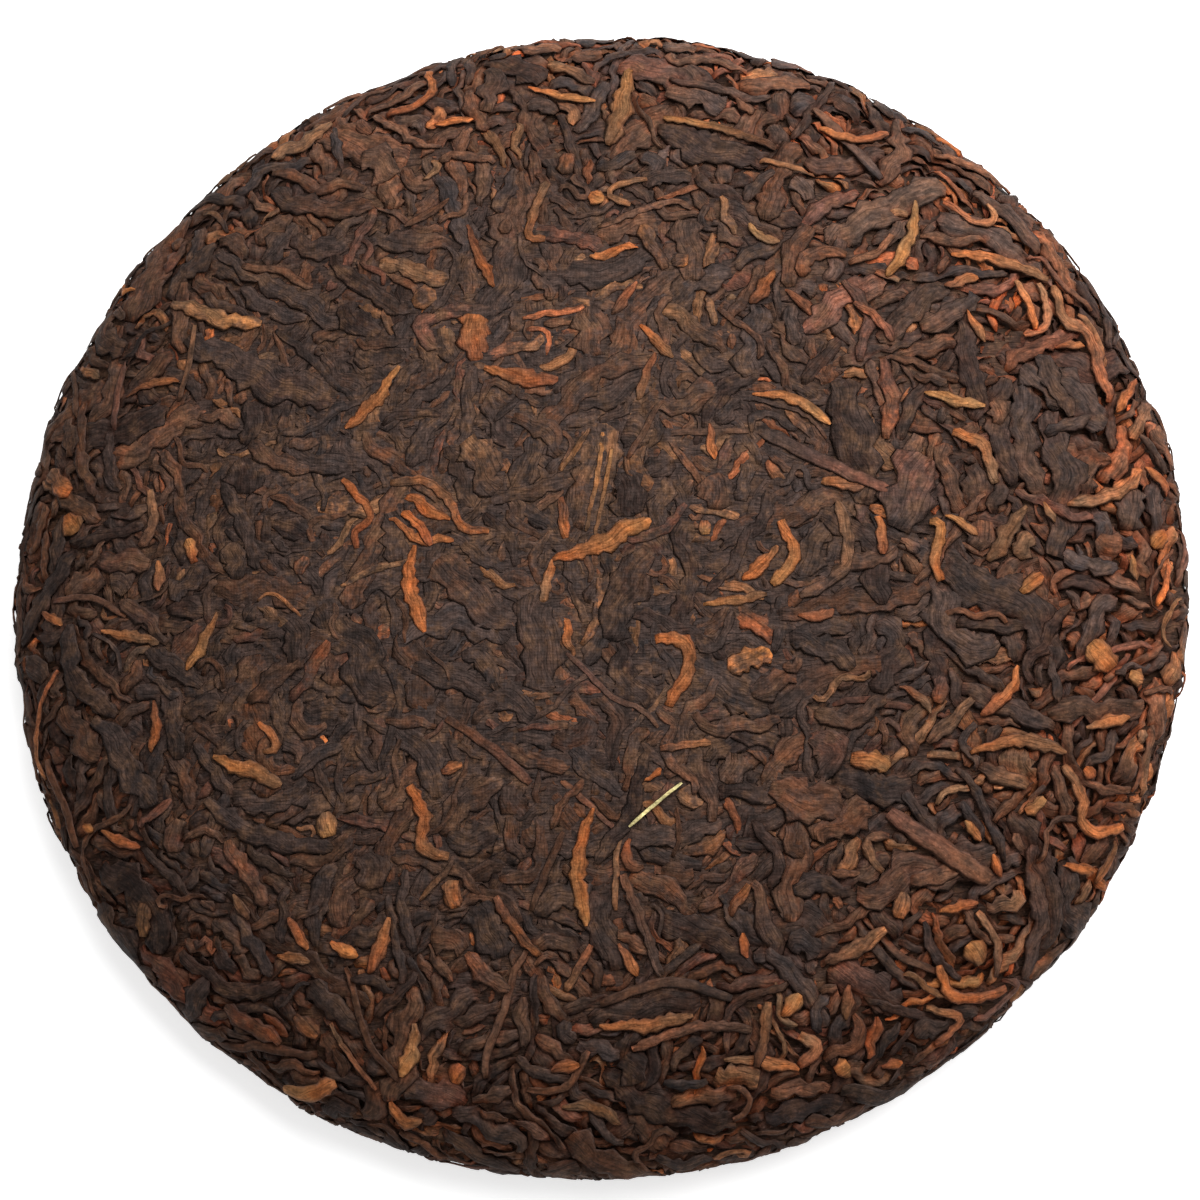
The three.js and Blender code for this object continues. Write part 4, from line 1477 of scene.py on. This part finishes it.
    def build_cloth(self) -> bpy.types.NodeTree:
        """The faint print of the pressing cloth's threads, strongest in the middle of the face."""
        graph, given = new_group("cloth_print", {"Thread": 0.5, "Rimward": 0.0}, ("Height",))
        place = graph.add("TexCoord").outputs["Object"]
        axes = graph.add("SeparateXYZ", {0: graph.scaled(place, 3 * (1 / MM,))})
        pitch = graph.math("DIVIDE", 2 * math.pi, given.outputs["Thread"])
        threads = [graph.math("SINE", graph.math("MULTIPLY", axes.outputs[i], pitch)) for i in (0, 1)]
        weave = graph.math("ADD", *threads)
        faded = graph.ranged(given.outputs["Rimward"], 0.1, 0.9, 1.0, 0.15)
        graph.add("NodeGroupOutput", {"Height": graph.math("MULTIPLY", weave, faded)})
        return graph.tree


@dataclass(frozen=True)
class LeafFinish:
    """The finish of one kind of leaf."""

    name: str
    slot: str
    streak: tuple[float, float] = (0.6, 1.4)
    patch: tuple[float, float] = (0.8, 1.2)
    patch_warmth: tuple[float, float, float] = (1.3, 1.05, 0.87)
    dust_tone: tuple[float, float, float] = (0.045, 0.0285, 0.0235)
    stain_tone: tuple[float, float, float] = (0.112, 0.057, 0.031)
    # The warmer colour of painted shade deep between leaves.
    painted_shade_warmth: tuple[float, float, float] = (1.7, 1.15, 0.92)
    dusted: float = 1.0
    speck: float = 0.5
    grit: tuple[float, float] = (0.64, 1.4)
    # How dark the creases are painted: painted shade in the creases.
    crease: float = 0.6
    fine_pitch: float = 3.0
    wide_pitch: float = 0.7
    wrinkle: float = 0.18
    crumple: float = 0.22
    cloth: float = 0.01
    roughness: tuple[float, float] = (0.6, 0.8)
    specular: float = 0.1
    # How much painted shade darkens the leaf's edges and its deep places.
    edge: float = 0.13
    depth: float = 0.06

    def build(self, effects: Effects) -> bpy.types.Material:
        """Makes the material.

        Args:
            effects: The shared node groups.

        Returns:
            The material.
        """
        material = bpy.data.materials.new(self.name)
        material.use_nodes = True
        graph = Graph(material.node_tree)
        grain = graph.filled(effects.grain, {"fine_pitch": self.fine_pitch, "wide_pitch": self.wide_pitch})
        shade = graph.filled(effects.shade, {"edge": self.edge, "depth": self.depth})
        rimward = {"rimward": shade.outputs["Rimward"]}
        cloth = graph.filled(effects.cloth, rimward)
        rubbed = {**rimward, "edge": shade.outputs["Edge"], "amount": self.dusted}
        smudge = graph.filled(effects.smudge, rubbed)
        tone = graph.add("Attribute", attribute_name="tone").outputs["Color"]
        colour = graph.blend(grain.outputs["Patch"], tone, graph.times(tone, self.patch_warmth))
        colour = graph.blend(smudge.outputs["Stain"], colour, self.stain_tone)
        colour = graph.blend(smudge.outputs["Dust"], colour, self.dust_tone)
        # Painted shade deep between leaves: the colour there turns warmer.
        colour = graph.blend(shade.outputs["Deep"], colour, graph.times(colour, self.painted_shade_warmth))
        # Brightness: painted shade at the edges, in the deep and in the creases, times the leaf's streaks,
        # patches, grit and specks.
        light = shade.outputs["Shade"]
        for node, output, ends, shades in (
            (grain, "Streak", (0.0, 1.0), self.streak),
            (grain, "Patch", (0.0, 1.0), self.patch),
            (grain, "Crease", (0.0, 1.0), (1.0, self.crease)),
            (smudge, "Crumple", (0.33, 0.67), self.grit),
            (smudge, "Speck", (0.0, 1.0), (1.0, 1 + self.speck)),
        ):
            light = graph.math("MULTIPLY", light, graph.ranged(node.outputs[output], *ends, *shades))
        colour = graph.add("VectorMath", {0: colour, "Scale": light}, operation="SCALE").outputs[0]
        wrinkle = graph.math("MULTIPLY", grain.outputs["Height"], self.wrinkle)
        height = graph.math("MULTIPLY_ADD", cloth.outputs["Height"], self.cloth, wrinkle)
        height = graph.math("MULTIPLY_ADD", smudge.outputs["Crumple"], self.crumple, height)
        bump = graph.add("Bump", {"Height": height, "Distance": MM, "Strength": 1.0}).outputs[0]
        rough = graph.ranged(grain.outputs["Streak"], 0.0, 1.0, self.roughness[1], self.roughness[0])
        surface = graph.add("BsdfPrincipled", {
            "Base Color": colour, "Roughness": rough, "Normal": bump, "Specular IOR Level": self.specular,
        })
        graph.add("OutputMaterial", {"Surface": surface.outputs[0]})
        return material


@dataclass
class Core:
    """The crumbled leaf behind the leaves, flush with them where the cake is pressed hardest."""

    sides: tuple[tuple[Face, Pressing], ...]
    finish: LeafFinish = LeafFinish("crumbled_core", "packed_core", wrinkle=0.25)
    turns: int = 240
    rings: int = 64
    first_ring: float = 0.4
    last_ring: float = 4.0
    sink: float = 0.1
    loose_sink: tuple[float, float] = (1.5, 9.0)
    wall_sink: float = 0.42
    crumb_hills: Hills = Hills(0.5, ((0.3, 5.0), (0.3, 2.2)))
    crumb_heights: tuple[float, float] = (0.2, 1.3)
    # Painted shade: the core is darker where crumbs sink it deeper.
    crumb_painted_shade: tuple[float, float] = (1.2, 0.3)
    # Painted shade of the rim: the core darker and warmer towards it.
    rim_painted_shade_share: float = 0.5

    def build(self, effects: Effects, rng: np.random.Generator) -> bpy.types.Object:
        """Makes the core as one closed turned mesh with crumbs on it.

        Args:
            effects: The shared node groups.
            rng: Draws its crumbs.

        Returns:
            The piece.
        """
        turn = np.linspace(0, 2 * math.pi, self.turns, endpoint=False)
        points, tones, grains, forms = [], [], [], []
        for face, pressing in self.sides:
            reach = np.linspace(self.first_ring, face.reach - self.last_ring, self.rings)
            reach = reach[:: -1 if face.mirrored else 1]
            x = reach[:, None] * np.cos(turn)[None, :]
            y = reach[:, None] * np.sin(turn)[None, :]
            crumbs = np.clip(self.crumb_hills.at(x, y, rng), 0, 1)
            loose = pressing.at(x, y)
            walled = pressing.walled(reach)[:, None]
            sink = self.sink + self.loose_sink[0] * loose + self.loose_sink[1] * loose**2
            sink = sink * (1 - walled) + self.wall_sink * walled
            crumb_height = self.crumb_heights[0] + self.crumb_heights[1] * loose
            lift = -sink - crumb_height * crumbs - pressing.lumps(x, y)
            points.append(face.place(np.stack((x, y), axis=-1), lift).reshape(-1, 3))
            # Painted shade: darker and warmer towards the rim, and darker where crumbs sink the core deeper.
            rim_painted_shade = np.clip(loose / pressing.rim, 0, 1).reshape(-1, 1)
            tone = np.array(Tone.SLATE.value) * (1 - rim_painted_shade)
            tone = tone + self.rim_painted_shade_share * np.array(Tone.UMBER.value) * rim_painted_shade
            tones.append(tone * (self.crumb_painted_shade[0] - self.crumb_painted_shade[1] * crumbs).reshape(-1, 1))
            forms.append(np.stack((0 * x, 0 * x, loose / pressing.rim), axis=-1).reshape(-1, 3))
            grains.append(np.stack((x, y, 0 * x), axis=-1).reshape(-1, 3))
        faces = tube(len(self.sides) * self.rings, self.turns)
        mesh = quad_mesh("packed_core", np.concatenate(points) * MM, faces)
        dress(mesh, grains, forms, tones)
        return finished_piece("packed_core", mesh, self.finish.build(effects))


FINISHES = {
    "broad_leaves": LeafFinish("pressed_broad_leaf", "dark_leaf"),
    "rolled_leaves": LeafFinish("rolled_leaf", "dark_leaf"),
    "brown_leaves": LeafFinish("brown_rolled_leaf", "brown_leaf"),
    "twisted_leaves": LeafFinish("twisted_leaf", "brown_leaf", dusted=0.65),
    "golden_buds": LeafFinish("golden_bud", "golden_bud", patch_warmth=(0.85, 0.66, 0.5),
                              streak=(0.65, 1.4), dusted=0.25),
    "stems": LeafFinish("dry_stem", "leaf_stem", wrinkle=0.1, streak=(0.75, 1.3), crease=0.75, dusted=0.6,
                        crumple=0.12),
    "flakes": LeafFinish("leaf_flake", "dark_leaf"),
    "crumbs": LeafFinish("leaf_crumb", "brown_leaf"),
    "grass_blade": LeafFinish("dry_grass", "straw", streak=(0.9, 1.1), crease=0.9, wrinkle=0.03, edge=0.1,
                              patch_warmth=(1.0, 1.0, 1.0), dust_tone=Tone.STRAW.value,
                              stain_tone=Tone.STRAW.value),
}


@dataclass(frozen=True)
class Round:
    """A round of laying: its kinds and their shares, how many leaves, and how much of one has to show."""

    kinds: tuple[tuple[LeafKind, float], ...]
    count: int
    least: float

    def pick_kind(self, rng: np.random.Generator) -> LeafKind:
        """A kind by its share."""
        shares = np.array([share for _, share in self.kinds])
        return self.kinds[int(rng.choice(len(shares), p=shares / shares.sum()))][0]


FRONT_ROUNDS = (
    Round(((TWIST, 0.35), (BUD, 0.2), (CHIP, 0.25), (STEM, 0.05), (BROWN, 0.2), (ROLLED, 0.25), (FLAKE, 0.2)),
          400, 3.0),
    Round(((BROAD, 0.35), (FLAKE, 0.35), (ROLLED, 0.4), (BROWN, 0.2)), 480, 10.0),
    Round(((FLAKE, 0.25), (ROLLED, 0.28), (BROWN, 0.25), (TWIST, 0.2), (BUD, 0.08), (STEM, 0.03)),
          800, 6.0),
    Round(((ROLLED, 0.25), (BROWN, 0.25), (TWIST, 0.25), (BUD, 0.08), (CHIP, 0.2)), 560, 3.0),
    Round(((BROWN, 0.2), (TWIST, 0.25), (CHIP, 0.5)), 640, 1.5),
    Round(((CHIP, 1.0),), 750, 0.7),
)
BACK_ROUNDS = (
    Round(((TWIST, 0.4), (BUD, 0.2), (CHIP, 0.15), (STEM, 0.06), (BROWN, 0.3)), 160, 5.0),
    Round(((BROAD, 0.3), (FLAKE, 0.3), (ROLLED, 0.35), (BROWN, 0.25)), 320, 12.0),
    Round(((FLAKE, 0.2), (ROLLED, 0.3), (BROWN, 0.3), (TWIST, 0.2), (BUD, 0.06)), 400, 7.0),
    Round(((ROLLED, 0.3), (BROWN, 0.2), (TWIST, 0.3), (CHIP, 0.2)), 300, 3.5),
    Round(((TWIST, 0.2), (CHIP, 0.8)), 300, 1.5),
)


@dataclass
class TeaCake:
    """The whole cake, as the photo's camera sees it."""

    viewpoint: Viewpoint
    face_cell: float = 0.3
    side_allowance: float = 0.2
    top_allowance: float = 0.4
    front_steps: int = 160
    back_steps: int = 80
    front_inset: float = 4.0
    back_inset: float = 2.0
    front_pressing: Pressing = Pressing(0.0, 0.46, 0.2)
    back_pressing: Pressing = Pressing(0.02, 0.35, 0.2)
    tries: int = 8
    headings: int = 3
    length_skew: tuple[float, float] = (1.3, 1.8)
    width_skew: tuple[float, float] = (1.2, 2.0)
    rim_start: float = 84.0
    rim_ramp: float = 24.0
    rim_share: float = 0.7
    rim_sway: float = 0.3
    two_toned: float = 0.3
    # Painted shade: away from the upper right, where the key light stands, bright leaves more often turn
    # brown.
    painted_shade_dulling: tuple[float, float] = (0.25, 0.005)
    painted_shade_lean: float = 0.6
    seen_fullness: float = 1.14
    seen_least: float = 0.2

    def __post_init__(self) -> None:
        """Takes the mould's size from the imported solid."""
        low, high = (np.array(corner) / MM for corner in CAD_BOX)
        radius = float((high - low)[:2].min()) / 2 - self.side_allowance
        form = CakeForm(radius, float(high[2]) - self.top_allowance)
        self.front = Face(form.front_points(self.front_steps), False)
        self.back = Face(form.back_points(self.back_steps), True)
        self.rng = np.random.default_rng(SEED)
        self.piles: dict[tuple[str, bool], LeafPile] = {}

    def side(self, face: Face) -> str:
        """A face's name."""
        return "back" if face.mirrored else "front"

    def pile(self, piece: str, face: Face) -> LeafPile:
        """The pile for a piece of one face."""
        return self.piles.setdefault((piece, face.mirrored), LeafPile(f"{self.side(face)}_{piece}", face))

    def keep(self, leaf: Leaf | None, piece: str, face: Face) -> bool:
        """Puts a leaf on its pile, if there is one."""
        if leaf is None:
            return False
        self.pile(piece, face).leaves.append(leaf)
        return True

    def lay_seen(self, press: Press, seen: SeenLeaf, piece: str | None = None) -> None:
        """Lays a leaf that stands out in the photo.

        Args:
            press: The front's press.
            seen: The leaf.
            piece: The piece that it belongs to, if that isn't its kind's.
        """
        line = rounded(self.viewpoint.on_face(self.front, seen.pixels))
        tones = (seen.tone, seen.end_tone or seen.tone)
        width = self.seen_fullness * seen.width
        leaf = press.lay(seen.kind, line, width, tones, self.seen_least, seen.drop)
        self.keep(leaf, piece or seen.piece(), self.front)

    def fill(self, press: Press, rounds: tuple[Round, ...]) -> None:
        """Lays leaves round by round where the mould is still bare.

        Args:
            press: The face's press.
            rounds: The rounds.
        """
        free = press.free.ravel()
        for each in rounds:
            bare = press.seeds[free[press.seeds]]
            laid = 0
            for cell in self.rng.permutation(bare)[: self.tries * each.count]:
                if laid >= each.count:
                    break
                if not free[cell]:
                    continue
                kind = each.pick_kind(self.rng)
                leaf = self.best_laid(press, kind, press.centre(cell), each.least)
                laid += self.keep(leaf, kind.piece, press.face)
            LOG.info("%s: %d leaves laid, %.3f bare", self.side(press.face), laid, press.uncovered())

    def best_laid(self, press: Press, kind: LeafKind, centre: np.ndarray, least: float) -> Leaf | None:
        """Lays one leaf, along whichever of a few headings shows most of it.

        Args:
            press: The face's press.
            kind: The kind of leaf.
            centre: Its middle.
            least: The least area of it that has to show.

        Returns:
            The leaf, or None.
        """
        rng = self.rng
        length = kind.length[0] + (kind.length[1] - kind.length[0]) * rng.beta(*self.length_skew)
        width = kind.width[0] + (kind.width[1] - kind.width[0]) * rng.beta(*self.width_skew)
        distance = math.hypot(*centre)
        rim_turn = math.atan2(centre[1], centre[0]) + math.pi / 2
        best, best_shown = None, -1.0
        for _ in range(self.headings):
            along_rim = rng.random() < np.clip((distance - self.rim_start) / self.rim_ramp, 0, self.rim_share)
            heading = rim_turn + rng.normal(0, self.rim_sway) if along_rim else rng.uniform(0, 2 * math.pi)
            line = wandering(centre, heading, length, kind, rng)
            shown = press.free.ravel()[press.cells(line)].mean()
            if shown > best_shown:
                best, best_shown = line, shown
        first = self.tone_at(kind, centre)
        tones = (first, self.tone_at(kind, centre) if rng.random() < self.two_toned else first)
        return press.lay(kind, best, width, tones, least)

    def tone_at(self, kind: LeafKind, centre: np.ndarray) -> Tone:
        """A tone by the kind's shares, but away from the upper right more of the bright ones turn brown, as
        painted shade.
        """
        tone = kind.pick_tone(self.rng)
        # Painted shade: the odds of a bright leaf turning brown grow away from the upper right.
        painted_shade_odds = self.painted_shade_dulling[0] - self.painted_shade_dulling[1] * (centre[0] + self.painted_shade_lean * centre[1])
        if tone in (Tone.TAN, Tone.RUST, Tone.ORANGE, Tone.GOLD) and self.rng.random() < painted_shade_odds:
            return Tone.UMBER
        return tone

    def dress_front(self) -> None:
        """Lays the front: the leaves that stand out in the photo, then all others under and between them."""
        reach = self.front.reach - self.front_inset
        press = Press(self.front, reach, self.face_cell, self.front_pressing, self.rng)
        self.lay_seen(press, GRASS_BLADE, "grass_blade")
        self.lay_seen(press, RIM_FLAKE)
        for seen in SEEN_LEAVES:
            self.lay_seen(press, seen)
        self.fill(press, FRONT_ROUNDS)

    def dress_back(self) -> None:
        """Lays the back, which the photo doesn't show, like the front but plainer."""
        reach = self.back.reach - self.back_inset
        press = Press(self.back, reach, self.face_cell, self.back_pressing, self.rng)
        self.fill(press, BACK_ROUNDS)

    def build(self) -> None:
        """Lays every leaf and makes the pieces."""
        effects = Effects()
        self.dress_front()
        self.dress_back()
        core = Core(((self.front, self.front_pressing), (self.back, self.back_pressing)))
        core = core.build(effects, self.rng)
        LOG.info("%s: %d faces", core.name, len(core.data.polygons))
        materials = {piece: finish.build(effects) for piece, finish in FINISHES.items()}
        for (piece, _), pile in self.piles.items():
            made = pile.build(materials[piece], FINISHES[piece].slot)
            LOG.info("%s: %d leaves, %d triangles", made.name, len(pile.leaves), pile.triangles())


@dataclass
class Studio:
    """A plain white light table under soft light."""

    floor_size: float = 3.0
    floor_tone: float = 0.95
    floor_glow: float = 0.6
    floor_roughness: float = 0.9
    floor_specular: float = 0.1
    sky: float = 0.335
    key_power: float = 4.1
    key_size: float = 0.55
    key_place: tuple[float, float, float] = (0.2, 0.24, 0.36)

    def build(self) -> None:
        """Makes the floor, the sky and the key light."""
        self.build_floor()
        self.build_sky()
        self.build_key()

    def build_floor(self) -> None:
        """Makes the floor."""
        half = self.floor_size / 2
        mesh = bpy.data.meshes.new("floor")
        corners = [(-half, -half, 0), (half, -half, 0), (half, half, 0), (-half, half, 0)]
        mesh.from_pydata(corners, [], [(0, 1, 2, 3)])
        floor = bpy.data.objects.new("floor", mesh)
        bpy.context.scene.collection.objects.link(floor)
        material = bpy.data.materials.new("pale_floor")
        material.use_nodes = True
        surface = material.node_tree.nodes["Principled BSDF"]
        surface.inputs["Base Color"].default_value = (self.floor_tone, self.floor_tone, self.floor_tone, 1)
        surface.inputs["Roughness"].default_value = self.floor_roughness
        surface.inputs["Specular IOR Level"].default_value = self.floor_specular
        surface.inputs["Emission Color"].default_value = (1.0, 1.0, 1.0, 1)
        surface.inputs["Emission Strength"].default_value = self.floor_glow
        mesh.materials.append(material)

    def build_sky(self) -> None:
        """Makes the even light from all sides."""
        world = bpy.data.worlds.new("studio_sky")
        world.use_nodes = True
        background = world.node_tree.nodes["Background"]
        background.inputs["Color"].default_value = (1.0, 1.0, 1.0, 1)
        background.inputs["Strength"].default_value = self.sky
        bpy.context.scene.world = world
        bpy.context.scene.view_settings.view_transform = "Standard"

    def build_key(self) -> None:
        """Makes the soft light at the upper right."""
        light = bpy.data.lights.new("key", "AREA")
        light.energy = self.key_power
        light.size = self.key_size
        key = bpy.data.objects.new("key", light)
        bpy.context.scene.collection.objects.link(key)
        place = Vector(self.key_place)
        key.location = place
        key.rotation_euler = place.to_track_quat("Z", "Y").to_euler()


def main() -> None:
    """Builds the camera, the cake and its studio."""
    logging.basicConfig(level=logging.INFO, format="%(relativeCreated)d ms: %(message)s", force=True)
    viewpoint = Viewpoint()
    viewpoint.build()
    TeaCake(viewpoint).build()
    Studio().build()


if __name__ == "__main__":
    main()
